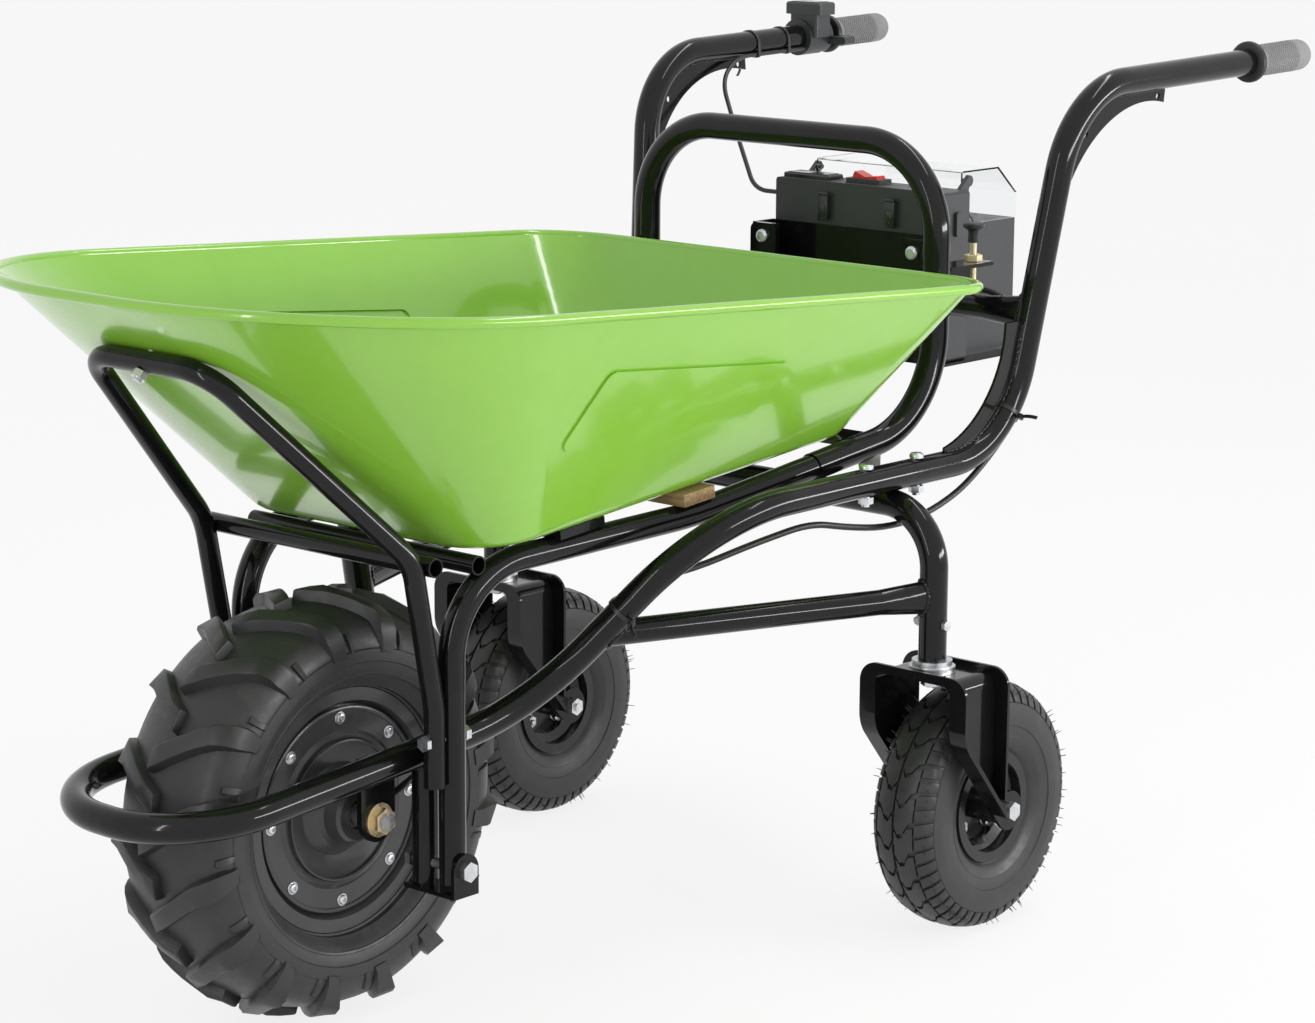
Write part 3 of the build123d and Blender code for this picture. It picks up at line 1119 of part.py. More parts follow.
# Lock: a bracket behind the hoop's left leg with a hexagon barrel, and the pin that drops into the crossbar
LOCK_PLATE_T = 4.0
LOCK_PLATE_Z = 651.0
LOCK_PLATE_HALF = 15.0
BARREL_H = 7.0
KNOB_STEM_H = 15.0
KNOB_H = 6.0
KNOB_STEM_R = 6.0
KNOB_R = 11.0
crossbar_top = CROSSBAR_Z + CROSSBAR_R
barrel_top = LOCK_PLATE_Z + BARREL_H
knob_foot = barrel_top + LOCK_TRAVEL + FIT_GAP
plate_back = crossbar_x - LOCK_PLATE_HALF
web_back = crossbar_x + CROSSBAR_R + 2
web_foot = crossbar_top + 2
with BuildPart() as lock_bracket:
    with BuildSketch(Plane(origin=at(0, LOCK_Y, LOCK_PLATE_Z), x_dir=AHEAD, z_dir=DOWN)):
        with Locations(((HOOP_X + plate_back) / 2, 0)):
            Rectangle(HOOP_X - plate_back, 2 * LOCK_PLATE_HALF)
    extrude(amount=LOCK_PLATE_T)
    with BuildSketch(side_plane(HOOP_Y + LOCK_PLATE_T / 2)):
        with Locations(((HOOP_X + web_back) / 2 + AXLE_X, (web_foot + LOCK_PLATE_Z) / 2)):
            Rectangle(HOOP_X - web_back, LOCK_PLATE_Z - web_foot)
    extrude(amount=LOCK_PLATE_T)
    add(hex_prism(at(crossbar_x, LOCK_Y, LOCK_PLATE_Z), UP, 14, BARREL_H))
    with Locations(at(crossbar_x, LOCK_Y, LOCK_PLATE_Z)):
        Cylinder(LOCK_PIN_D / 2 + RUN_GAP, 4 * BARREL_H, mode=Mode.SUBTRACT)
    add(hoop_bar, mode=Mode.SUBTRACT)
save(lock_bracket.part, "lock_bracket")

with BuildPart() as lock_pin:
    pin_tip = at(crossbar_x, LOCK_Y, crossbar_top + FIT_GAP)
    add(straight_tube(pin_tip, at(crossbar_x, LOCK_Y, knob_foot), LOCK_PIN_D))
    with Locations(at(crossbar_x, LOCK_Y, knob_foot)):
        Cylinder(KNOB_STEM_R, KNOB_STEM_H, align=(Align.CENTER, Align.CENTER, Align.MIN))
    with Locations(at(crossbar_x, LOCK_Y, knob_foot + KNOB_STEM_H)):
        Cylinder(KNOB_R, KNOB_H, align=(Align.CENTER, Align.CENTER, Align.MIN))
    fillet(lock_pin.edges().filter_by(GeomType.CIRCLE).group_by(Axis.Z)[-1], radius=1.5)
save(lock_pin.part, "lock_pin")

# Ear plates on the back of the crossbar, and the folded carrier of the control box
ARM_T = 4.0
CARRIER_HALF = BOX_HALF + CARRIER_T + 1
CARRIER_TOP = 664.0
EAR_IN = 84.0
EAR_FOOT = 540.0
CARRIER_BOLT_D = 8.0
CARRIER_BOLT_ZS = (650.0, 556.0)
carrier_bolt_y = (EAR_IN + CARRIER_HALF) / 2
ear_middle = (EAR_FOOT + CARRIER_TOP) / 2
ear_back = crossbar_x - CROSSBAR_R + WELD_BITE - ARM_T
with BuildPart() as carrier_bolt_holes:
    for side in (carrier_bolt_y, -carrier_bolt_y):
        for bolt_z in CARRIER_BOLT_ZS:
            with Locations(Location(at(ear_back, side, bolt_z), (0, 90, 0))):
                Cylinder(CARRIER_BOLT_D / 2 + BOLT_GAP, 4 * CARRIER_BOLT_D)

with BuildPart() as box_arms:
    with BuildSketch(cross_plane(ear_back)):
        with Locations((carrier_bolt_y, ear_middle), (-carrier_bolt_y, ear_middle)):
            RectangleRounded(CARRIER_HALF - EAR_IN, CARRIER_TOP - EAR_FOOT, radius=8)
    extrude(amount=ARM_T)
    add(crossbar_bar, mode=Mode.SUBTRACT)
    add(carrier_bolt_holes.part, mode=Mode.SUBTRACT)
save(box_arms.part, "box_arms")

battery_back = BOX_FRONT - BOX_DEPTH - BATTERY_DEPTH
with BuildPart() as carrier:
    with BuildSketch(Plane(origin=(0, 0, EAR_FOOT), x_dir=AHEAD, z_dir=UP)):
        for side in (1, -1):
            with Locations((ear_back - CARRIER_T / 2 + AXLE_X, side * carrier_bolt_y)):
                Rectangle(CARRIER_T, CARRIER_HALF - EAR_IN)
            with Locations(((ear_back + BOX_FRONT) / 2 + AXLE_X, side * (CARRIER_HALF - CARRIER_T / 2))):
                Rectangle(ear_back - BOX_FRONT, CARRIER_T)
    extrude(amount=CARRIER_TOP - EAR_FOOT)
    with BuildSketch(cross_plane(BOX_FRONT)):
        with Locations((0, (BOX_BOTTOM - CARRIER_T + CARRIER_TOP) / 2)):
            Rectangle(2 * CARRIER_HALF, CARRIER_TOP - BOX_BOTTOM + CARRIER_T)
    extrude(amount=CARRIER_T)
    with BuildSketch(Plane(origin=(0, 0, BOX_BOTTOM), x_dir=AHEAD, z_dir=UP)):
        with Locations(((BOX_FRONT + battery_back) / 2 + AXLE_X, 0)):
            Rectangle(BOX_FRONT - battery_back, 2 * CARRIER_HALF)
    extrude(amount=-CARRIER_T)
    add(carrier_bolt_holes.part, mode=Mode.SUBTRACT)
save(carrier.part, "carrier")

CARRIER_HEAD_D = 15.0
CARRIER_HEAD_H = 4.5
with BuildPart() as carrier_bolts:
    for side in (carrier_bolt_y, -carrier_bolt_y):
        for bolt_z in CARRIER_BOLT_ZS:
            front = at(ear_back + ARM_T, side, bolt_z)
            rear = at(ear_back - CARRIER_T, side, bolt_z)
            add(straight_tube(rear + BACK * TRAY_THREAD, front, CARRIER_BOLT_D))
            add(straight_tube(front, front + AHEAD * CARRIER_HEAD_H, CARRIER_HEAD_D))
            add(hex_prism(rear, BACK, 13, NUT_H))
    fillet(carrier_bolts.edges().filter_by(GeomType.CIRCLE).group_by(Axis.X)[-1], radius=3)
save(carrier_bolts.part, "carrier_bolts")

# Control box with latches, a pocket for the switch and lugs for the hood
SWITCH_Y = -4.0
DISPLAY_Y = -80.0
SWITCH_X = BOX_FRONT - BOX_DEPTH / 2
ROCKER_R = 17.0
ROCKER_W = 14.0
ROCKER_TILT = 7.0
BEZEL_T = 5.0
rocker_z = BOX_TOP + 2
switch_half = ROCKER_R + 1.5
box_back = BOX_FRONT - BOX_DEPTH
HOOD_HINGE_X = box_back - 13
HOOD_HINGE_Z = BOX_TOP + 8
HOOD_PIN_D = 5.0
HOOD_HALF = BATTERY_HALF - 1
LUG_T = 5.0
MOTOR_GLAND_Z = 610.0
THROTTLE_GLAND_Z = 690.0
GLAND_D = 11.0
GLAND_H = 8.0
hinge_x = HOOD_HINGE_X + AXLE_X
lug_front = box_back + AXLE_X
motor_gland = at(SWITCH_X, BOX_HALF, MOTOR_GLAND_Z)
throttle_gland = at(SWITCH_X, -BOX_HALF, THROTTLE_GLAND_Z)
with BuildPart() as control_box:
    with BuildSketch(cross_plane(BOX_FRONT)):
        with Locations((0, (BOX_TOP + BOX_BOTTOM) / 2)):
            RectangleRounded(2 * BOX_HALF, BOX_TOP - BOX_BOTTOM, radius=4)
    extrude(amount=-BOX_DEPTH)
    for latch_y in (-45, 45):
        with BuildSketch(cross_plane(BOX_FRONT)):
            with Locations((latch_y, CARRIER_TOP + 19)):
                RectangleRounded(11, 26, radius=3)
        extrude(amount=5)
    with BuildSketch(side_plane(BOX_HALF)):
        with Locations((SWITCH_X + AXLE_X, CARRIER_TOP + 12)):
            RectangleRounded(11, 26, radius=3)
    extrude(amount=-4)
    with BuildSketch(Plane(origin=at(SWITCH_X, SWITCH_Y, BOX_TOP), x_dir=LEFT, z_dir=UP)):
        Rectangle(2 * switch_half, ROCKER_W + 1)
    extrude(amount=-ROCKER_R, mode=Mode.SUBTRACT)
    for side in (1, -1):
        with BuildSketch(side_plane(side * (HOOD_HALF + 1 + LUG_T / 2))):
            with BuildLine():
                Polyline((hinge_x, HOOD_HINGE_Z + 6), (lug_front + 3, BOX_TOP), (lug_front, BOX_TOP - 30),
                         (hinge_x, HOOD_HINGE_Z - 6))
                ThreePointArc((hinge_x, HOOD_HINGE_Z - 6), (hinge_x - 6, HOOD_HINGE_Z),
                              (hinge_x, HOOD_HINGE_Z + 6))
            make_face()
        extrude(amount=LUG_T / 2, both=True)
        hinge_out = at(HOOD_HINGE_X, side * (HOOD_HALF + 1 + LUG_T), HOOD_HINGE_Z)
        add(straight_tube(hinge_out, hinge_out + RIGHT * side * (LUG_T + 5), HOOD_PIN_D))
    add(straight_tube(motor_gland, motor_gland + LEFT * GLAND_H, GLAND_D))
    add(straight_tube(throttle_gland, throttle_gland + RIGHT * GLAND_H, GLAND_D))
save(control_box.part, "control_box")

DISPLAY_T = 5.0
with BuildPart() as display:
    with BuildSketch(Plane(origin=at(SWITCH_X, DISPLAY_Y, BOX_TOP), x_dir=LEFT, z_dir=UP)):
        RectangleRounded(64, 28, radius=4)
    extrude(amount=DISPLAY_T)
    chamfer(display.edges().group_by(Axis.Z)[-1], length=1.5)
save(display.part, "display")

with BuildPart() as switch_bezel:
    with BuildSketch(Plane(origin=at(SWITCH_X, SWITCH_Y, BOX_TOP), x_dir=LEFT, z_dir=UP)):
        RectangleRounded(2 * switch_half + 10, ROCKER_W + 9, radius=3)
        Rectangle(2 * switch_half, ROCKER_W + 1, mode=Mode.SUBTRACT)
    extrude(amount=BEZEL_T)
    for side in (1, -1):
        pin_out = at(SWITCH_X + side * (ROCKER_W / 2 + 2), SWITCH_Y, rocker_z)
        add(straight_tube(pin_out, at(SWITCH_X + side * (ROCKER_W / 2 - 2), SWITCH_Y, rocker_z), 2.4))
save(switch_bezel.part, "switch_bezel")

with BuildPart() as rocker:
    with BuildSketch(cross_plane(SWITCH_X)):
        with Locations((SWITCH_Y, rocker_z)):
            Circle(ROCKER_R)
        with BuildLine():
            Polyline((SWITCH_Y - 2 * ROCKER_R, rocker_z + 10), (SWITCH_Y - ROCKER_R, rocker_z + 9),
                     (SWITCH_Y, rocker_z + 5), (SWITCH_Y + ROCKER_R, rocker_z + 9),
                     (SWITCH_Y + 2 * ROCKER_R, rocker_z + 10),
                     (SWITCH_Y + 2 * ROCKER_R, rocker_z + 2 * ROCKER_R),
                     (SWITCH_Y - 2 * ROCKER_R, rocker_z + 2 * ROCKER_R),
                     (SWITCH_Y - 2 * ROCKER_R, rocker_z + 10))
        make_face(mode=Mode.SUBTRACT)
        with Locations((SWITCH_Y, rocker_z - ROCKER_R)):
            Rectangle(3 * ROCKER_R, ROCKER_R + 4, mode=Mode.SUBTRACT)
    extrude(amount=ROCKER_W / 2, both=True)
    with Locations(Location(at(SWITCH_X, SWITCH_Y, rocker_z), (0, 90, 0))):
        Cylinder(1.2 + RUN_GAP, 2 * ROCKER_W, mode=Mode.SUBTRACT)
rocker_axis = Axis(at(SWITCH_X, SWITCH_Y, rocker_z), (1, 0, 0))
save(rocker.part.rotate(rocker_axis, -ROCKER_TILT), "rocker")

# Battery case with a carrying grip on top, under a clear hood
battery_front = box_back
battery_x = (battery_front + battery_back) / 2
with BuildPart() as battery_case:
    with BuildSketch(Plane(origin=at(battery_x, 0, BOX_BOTTOM), x_dir=AHEAD, z_dir=UP)):
        RectangleRounded(BATTERY_DEPTH, 2 * BATTERY_HALF, radius=4)
    extrude(amount=BATTERY_TOP - BOX_BOTTOM)
    with BuildSketch(cross_plane(battery_x)):
        with Locations((0, BATTERY_TOP + 12)):
            RectangleRounded(110, 34, radius=8)
        with Locations((0, BATTERY_TOP + 8)):
            RectangleRounded(90, 28, radius=6, mode=Mode.SUBTRACT)
        with Locations((0, BATTERY_TOP - 15)):
            Rectangle(120, 30, mode=Mode.SUBTRACT)
    extrude(amount=9, both=True)
    for rib_y in (-60, -20, 20, 60):
        with BuildSketch(cross_plane(battery_back)):
            with Locations((rib_y, (BOX_BOTTOM + BATTERY_TOP) / 2)):
                RectangleRounded(14, BATTERY_TOP - BOX_BOTTOM - 40, radius=5)
        extrude(amount=2, mode=Mode.SUBTRACT)
save(battery_case.part, "battery_case")

HOOD_FRONT = HOOD_HINGE_X + 5
hood_back = battery_back - 1
hood_foot = BATTERY_TOP + FIT_GAP


def hood_block(inset):
    """The hood's outer form, drawn in by its wall."""
    with BuildPart() as block:
        with BuildSketch(side_plane(0)) as outline:
            with BuildLine():
                Polyline((HOOD_FRONT + AXLE_X, HOOD_TOP - inset), (hood_back + 34 + AXLE_X, HOOD_TOP - inset),
                         (hood_back + inset + AXLE_X, HOOD_TOP - 30), (hood_back + inset + AXLE_X, hood_foot),
                         (HOOD_FRONT - 24 + AXLE_X, hood_foot), (HOOD_FRONT + AXLE_X, hood_foot + 24),
                         (HOOD_FRONT + AXLE_X, HOOD_TOP - inset))
            make_face()
        extrude(amount=HOOD_HALF - inset, both=True)
    return block.part


with BuildPart() as hood:
    add(hood_block(0))
    add(hood_block(HOOD_T), mode=Mode.SUBTRACT)
    with Locations(Location(at(HOOD_HINGE_X, 0, HOOD_HINGE_Z), (90, 0, 0))):
        Cylinder(HOOD_PIN_D / 2 + RUN_GAP, 3 * HOOD_HALF, mode=Mode.SUBTRACT)
save(hood.part, "hood")

# Throttle on the right handle: clamp with a small display head, and a thumb lever
LEVER_REACH = 38.0
HEAD_IN = 6.0              # head's middle from the handle's, towards the barrow's middle
HEAD_NECK = 12.0           # head's foot above the handle tube
throttle_x = grip_start + 8 + LEVER_T + THROTTLE_LENGTH
right_way = other_side(grip_way)
right_across = right_way.cross(UP).normalized()


def right_handle_at(ahead):
    """Point on the middle line of the right handle's top run."""
    return other_side(crest + (handle_tip - crest) * (ahead - CREST_X) / (HANDLE_END - CREST_X))


throttle_axis = Plane(origin=right_handle_at(throttle_x), x_dir=right_across, z_dir=right_way)
neck_foot = right_handle_at(throttle_x - THROTTLE_LENGTH / 2) + LEFT * HEAD_IN
head_foot = neck_foot + UP * (RAIL_R + HEAD_NECK)
with BuildPart() as throttle_housing:
    with BuildSketch(throttle_axis):
        Circle(RAIL_R + 7)
    extrude(amount=THROTTLE_LENGTH)
    with BuildSketch(Plane(origin=neck_foot, x_dir=LEFT, z_dir=UP)):
        RectangleRounded(40, 28, radius=4)
    extrude(amount=RAIL_R + HEAD_NECK)
    with BuildSketch(Plane(origin=head_foot, x_dir=LEFT, z_dir=UP)):
        RectangleRounded(52, 32, radius=5)
    extrude(amount=14)
    chamfer(throttle_housing.edges().group_by(Axis.Z)[-1], length=2)
    with BuildSketch(throttle_axis.offset(-THROTTLE_LENGTH)):
        Circle(RAIL_R)
    extrude(amount=3 * THROTTLE_LENGTH, mode=Mode.SUBTRACT)
save(throttle_housing.part, "throttle_housing")

lever_axis = throttle_axis.offset(THROTTLE_LENGTH + FIT_GAP)
with BuildPart() as throttle_lever:
    with BuildSketch(lever_axis):
        Circle(RAIL_R + 6)
        with Locations((LEVER_REACH / 2, 5)):
            RectangleRounded(LEVER_REACH + 12, 9, radius=4)
        Circle(RAIL_R + RUN_GAP, mode=Mode.SUBTRACT)
    extrude(amount=LEVER_T - 2 * FIT_GAP)
    with BuildSketch(lever_axis):
        with Locations((LEVER_REACH - 5, 5)):
            RectangleRounded(20, 9, radius=4)
    extrude(amount=LEVER_T + 11)
save(throttle_lever.part, "throttle_lever")

# Leads: each follows its route with bends as large as the runs allow
MOTOR_LEAD_D = 6.5
THROTTLE_LEAD_D = 5.0
RUN_SHARE = 0.45           # part of a run that a bend may take at each end


def route_bends(points):
    """Bend radius at each inner point of a route, taking its share of the shorter run beside it."""
    bends = []
    for before, corner, after in zip(points, points[1:], points[2:]):
        arrive = corner - before
        leave = after - corner
        turn = radians(arrive.get_angle(leave))
        bends.append(RUN_SHARE * min(arrive.length, leave.length) / tan(turn / 2))
    return bends


# The motor lead leaves the box, follows the outside of the left kick bend, sags under the arch, follows the
# back of the rail's rise and ends at the drive axle
KICK_STEP = 24.0           # turn between the lead's points round the kick bend
RISE_TIE = 0.52            # place of the tie on the rail's rise
RISE_HOLD = 0.09           # share of the rise that the lead follows to each side of the tie
motor_beside = RAIL_R + MOTOR_LEAD_D / 2 + FIT_GAP
step_cos = cos(radians(KICK_STEP / 2))
kick_out = (KICK_BEND + motor_beside) / step_cos - KICK_BEND
kick_hold = kick_out - 2 * RUN_SHARE * (KICK_BEND + kick_out) * (1 - step_cos)


def kick_point(turn, out):
    """Point beside the left handle's kick bend."""
    return handle_plane.from_local_coords(Vector(*kick_place(turn, out), 0))


rise_way = (rise_foot - rise_top).normalized()
inward = BACK * 0.3 + RIGHT
rise_behind = (inward - rise_way * inward.dot(rise_way)).normalized()


def rise_point(share, out):
    """Point behind the left rail's rise, at a share of its height and a distance from its middle line."""
    return rise_foot + (rise_top - rise_foot) * share + rise_behind * out


motor_lead_points = [
    motor_gland + LEFT * GLAND_H,
    motor_gland + LEFT * 53,
    at(-812, 214, 592),
    at(-788, 246, 568),
    kick_point(KICK_TIE + KICK_STEP, kick_out),
    kick_point(KICK_TIE, kick_out),
    kick_point(KICK_TIE - KICK_STEP, kick_out),
    at(-664, 250, 436),
    at(-620, 250, 422),
    at(-574, 250, 415),
    at(-528, 250, 416),
    at(-480, 250, 424),
    at(-425, 247, 436),
    at(-365, 228, 423),
    at(-305, 205, 405),
    rise_point(RISE_TIE + RISE_HOLD, motor_beside),
    rise_point(RISE_TIE - RISE_HOLD, motor_beside),
    at(-196, 100, 296),
    at(-150, 84, 262),
    at(-92, 80, 244),
    at(-46, 79, 225),
    at(-10.9, 78, 209.8),
]
motor_lead_bends = route_bends(motor_lead_points)
save(bent_tube(motor_lead_points, motor_lead_bends, MOTOR_LEAD_D), "motor_lead")

throttle_beside = RAIL_R + THROTTLE_LEAD_D / 2 + FIT_GAP
throttle_hang = (LEFT + DOWN).normalized() * throttle_beside
throttle_lead_points = [
    right_handle_at(throttle_x) + throttle_hang,
    right_handle_at(-925) + throttle_hang,
    at(-880, -258, 800),
    at(-852, -214, 752),
    throttle_gland + RIGHT * 48,
    throttle_gland + RIGHT * GLAND_H,
]
throttle_lead_bends = route_bends(throttle_lead_points)
save(bent_tube(throttle_lead_points, throttle_lead_bends, THROTTLE_LEAD_D), "throttle_lead")
print("smallest lead bends", round(min(motor_lead_bends)), round(min(throttle_lead_bends)))

# Cable ties round a tube and the lead beside it
CABLE_TIE_T = 1.2
CABLE_TIE_W = 4.0
CABLE_TIE_GAP = 0.1
THROTTLE_TIE_XS = (-1016.0, -962.0)


def cable_tie(tube_point, tube_way, lead_point, lead_r):
    """Band drawn tight round a rail or handle and a lead."""
    reach = lead_point - tube_point
    across = Plane(origin=tube_point - tube_way * (CABLE_TIE_W / 2), x_dir=reach, z_dir=tube_way)
    with BuildPart() as band:
        for grow, mode in ((CABLE_TIE_GAP + CABLE_TIE_T, Mode.ADD), (CABLE_TIE_GAP, Mode.SUBTRACT)):
            with BuildSketch(across):
                Circle(RAIL_R + grow)
                with Locations((reach.length, 0)):
                    Circle(lead_r + grow)
                make_hull()
            extrude(amount=CABLE_TIE_W, mode=mode)
    return band.part


kick_tie_way = (kick_point(KICK_TIE + 1, 0) - kick_point(KICK_TIE - 1, 0)).normalized()
with BuildPart() as cable_ties:
    for tie_x in THROTTLE_TIE_XS:
        tie_point = right_handle_at(tie_x)
        add(cable_tie(tie_point, right_way, tie_point + throttle_hang, THROTTLE_LEAD_D / 2))
    add(cable_tie(kick_point(KICK_TIE, 0), kick_tie_way, kick_point(KICK_TIE, kick_hold), MOTOR_LEAD_D / 2))
    add(cable_tie(rise_point(RISE_TIE, 0), rise_way, rise_point(RISE_TIE, motor_beside), MOTOR_LEAD_D / 2))
save(cable_ties.part, "cable_ties")
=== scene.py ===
import json
import logging
import math
import random
from dataclasses import dataclass
from enum import Enum
from functools import cache

import bmesh
import bpy
import numpy as np
from bmesh.types import BMEdge, BMesh
from bpy.types import ID, Material, Node, NodeSocket, NodeTree, Object
from mathutils import Matrix, Vector
from mathutils.bvhtree import BVHTree


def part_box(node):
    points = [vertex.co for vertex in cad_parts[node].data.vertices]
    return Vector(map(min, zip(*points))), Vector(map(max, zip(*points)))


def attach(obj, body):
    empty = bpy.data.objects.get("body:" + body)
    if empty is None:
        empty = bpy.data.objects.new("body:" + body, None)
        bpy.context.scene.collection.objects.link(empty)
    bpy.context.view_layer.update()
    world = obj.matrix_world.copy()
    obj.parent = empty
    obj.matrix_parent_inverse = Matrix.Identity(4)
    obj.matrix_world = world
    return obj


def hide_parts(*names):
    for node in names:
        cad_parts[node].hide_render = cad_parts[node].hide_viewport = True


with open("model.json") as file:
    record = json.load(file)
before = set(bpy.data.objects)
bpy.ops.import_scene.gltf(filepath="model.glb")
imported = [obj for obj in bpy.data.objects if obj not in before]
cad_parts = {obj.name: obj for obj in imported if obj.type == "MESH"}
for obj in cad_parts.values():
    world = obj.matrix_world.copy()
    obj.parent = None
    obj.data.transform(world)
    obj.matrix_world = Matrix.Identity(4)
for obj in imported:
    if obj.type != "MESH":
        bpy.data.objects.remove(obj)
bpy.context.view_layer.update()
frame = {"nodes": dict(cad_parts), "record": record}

MM = 0.001
UP = Vector((0, 0, 1))
AHEAD = Vector((1, 0, 0))
ACROSS = Vector((0, 1, 0))
Colour = tuple[float, float, float]
Profile = list[tuple[float, float]]
log = logging.getLogger("wheelbarrow")


class Side(Enum):
    """Side of the barrow, seen by the person who pushes it."""

    LEFT = 1
    RIGHT = -1

    @property
    def word(self) -> str:
        """The side's name as the nodes spell it."""
        return self.name.lower()


class NodeSheet:
    """Short ways to place and link nodes on one node tree."""

    def __init__(self, tree: NodeTree) -> None:
        """Keeps the tree that the nodes go on."""
        self.tree = tree

    def add(self, kind: str, **values: object) -> Node:
        """Places a node.

        Args:
            kind: Blender's name of the node type.
            values: Properties of the node, such as operation.

        Returns:
            The new node.
        """
        node = self.tree.nodes.new(kind)
        for name, value in values.items():
            setattr(node, name, value)
        return node

    def feed(self, target: NodeSocket, source: "NodeSocket | float | Vector | tuple") -> None:
        """Links a socket to another, or sets its value.

        Args:
            target: Input socket.
            source: Output socket, or a plain value.
        """
        if isinstance(source, NodeSocket):
            self.tree.links.new(source, target)
        else:
            target.default_value = source

    def math(self, operation: str, *values: "NodeSocket | float") -> NodeSocket:
        """Places a Math node.

        Args:
            operation: Blender's name of the operation.
            values: Its inputs in order.

        Returns:
            The result.
        """
        node = self.add("ShaderNodeMath", operation=operation)
        for target, value in zip(node.inputs, values):
            self.feed(target, value)
        return node.outputs[0]

    def spread(self, value: NodeSocket, low: float, high: float, to_low: "NodeSocket | float" = 0.0,
               to_high: "NodeSocket | float" = 1.0) -> NodeSocket:
        """Stretches a value from one range to another, without leaving the second.

        Args:
            value: What is stretched.
            low: Start of its range.
            high: End of its range.
            to_low: Start of the new range.
            to_high: End of the new range.

        Returns:
            The stretched value.
        """
        node = self.add("ShaderNodeMapRange", interpolation_type="SMOOTHSTEP")
        for target, source in zip(node.inputs[:5], (value, low, high, to_low, to_high)):
            self.feed(target, source)
        return node.outputs[0]

    def blend(self, share: "NodeSocket | float", first: "NodeSocket | tuple",
              second: "NodeSocket | tuple") -> NodeSocket:
        """Mixes two colours.

        Args:
            share: Share of the second colour.
            first: Colour at share 0.
            second: Colour at share 1.

        Returns:
            The mixed colour.
        """
        node = self.add("ShaderNodeMix", data_type="RGBA")
        self.feed(node.inputs["Factor"], share)
        for target, colour in ((node.inputs[6], first), (node.inputs[7], second)):
            self.feed(target, colour)
        return node.outputs[2]

    def place(self) -> NodeSocket:
        """Object coordinates, in metres."""
        return self.add("ShaderNodeTexCoord").outputs["Object"]

    def noise(self, scale: "NodeSocket | float", detail: float = 3.0,
              place: "NodeSocket | None" = None) -> NodeSocket:
        """Places a noise.

        Args:
            scale: Waves to the metre.
            detail: How many finer waves are added.
            place: Coordinates, where they aren't the object's own.

        Returns:
            The noise from 0 to 1.
        """
        node = self.add("ShaderNodeTexNoise")
        self.feed(node.inputs["Vector"], place or self.place())
        self.feed(node.inputs["Scale"], scale)
        self.feed(node.inputs["Detail"], detail)
        return node.outputs["Fac"]

    def seen_rays(self) -> NodeSocket:
        """1 where the camera looks, straight on or by way of gloss or glass.

        Returns:
            The share.
        """
        rays = self.add("ShaderNodeLightPath").outputs
        by_way = self.math("MAXIMUM", rays["Is Glossy Ray"], rays["Is Transmission Ray"])
        return self.math("MAXIMUM", rays["Is Camera Ray"], by_way)

    def mix_onto(self, output: str, share: NodeSocket, first: NodeSocket, second: NodeSocket) -> None:
        """Mixes two shaders for the tree's output.

        Args:
            output: Name of the output node.
            share: Share of the second shader.
            first: Shader at share 0.
            second: Shader at share 1.
        """
        mix = self.add("ShaderNodeMixShader")
        for target, source in zip(mix.inputs, (share, first, second)):
            self.feed(target, source)
        self.feed(self.tree.nodes[output].inputs["Surface"], mix.outputs[0])

    def turned_place(self, centre: Vector, turn: tuple[float, float, float] = (0.0, 0.0, 0.0),
                     stretch: tuple[float, float, float] = (1.0, 1.0, 1.0)) -> NodeSocket:
        """Object coordinates from another centre, turned and stretched.

        Args:
            centre: New centre in metres.
            turn: Angles of the turn.
            stretch: Factors of the three lengths.

        Returns:
            The coordinates.
        """
        shift = self.add("ShaderNodeVectorMath", operation="SUBTRACT")
        self.feed(shift.inputs[0], self.place())
        shift.inputs[1].default_value = centre
        node = self.add("ShaderNodeMapping")
        self.feed(node.inputs["Vector"], shift.outputs[0])
        node.inputs["Rotation"].default_value = turn
        node.inputs["Scale"].default_value = stretch
        return node.outputs[0]


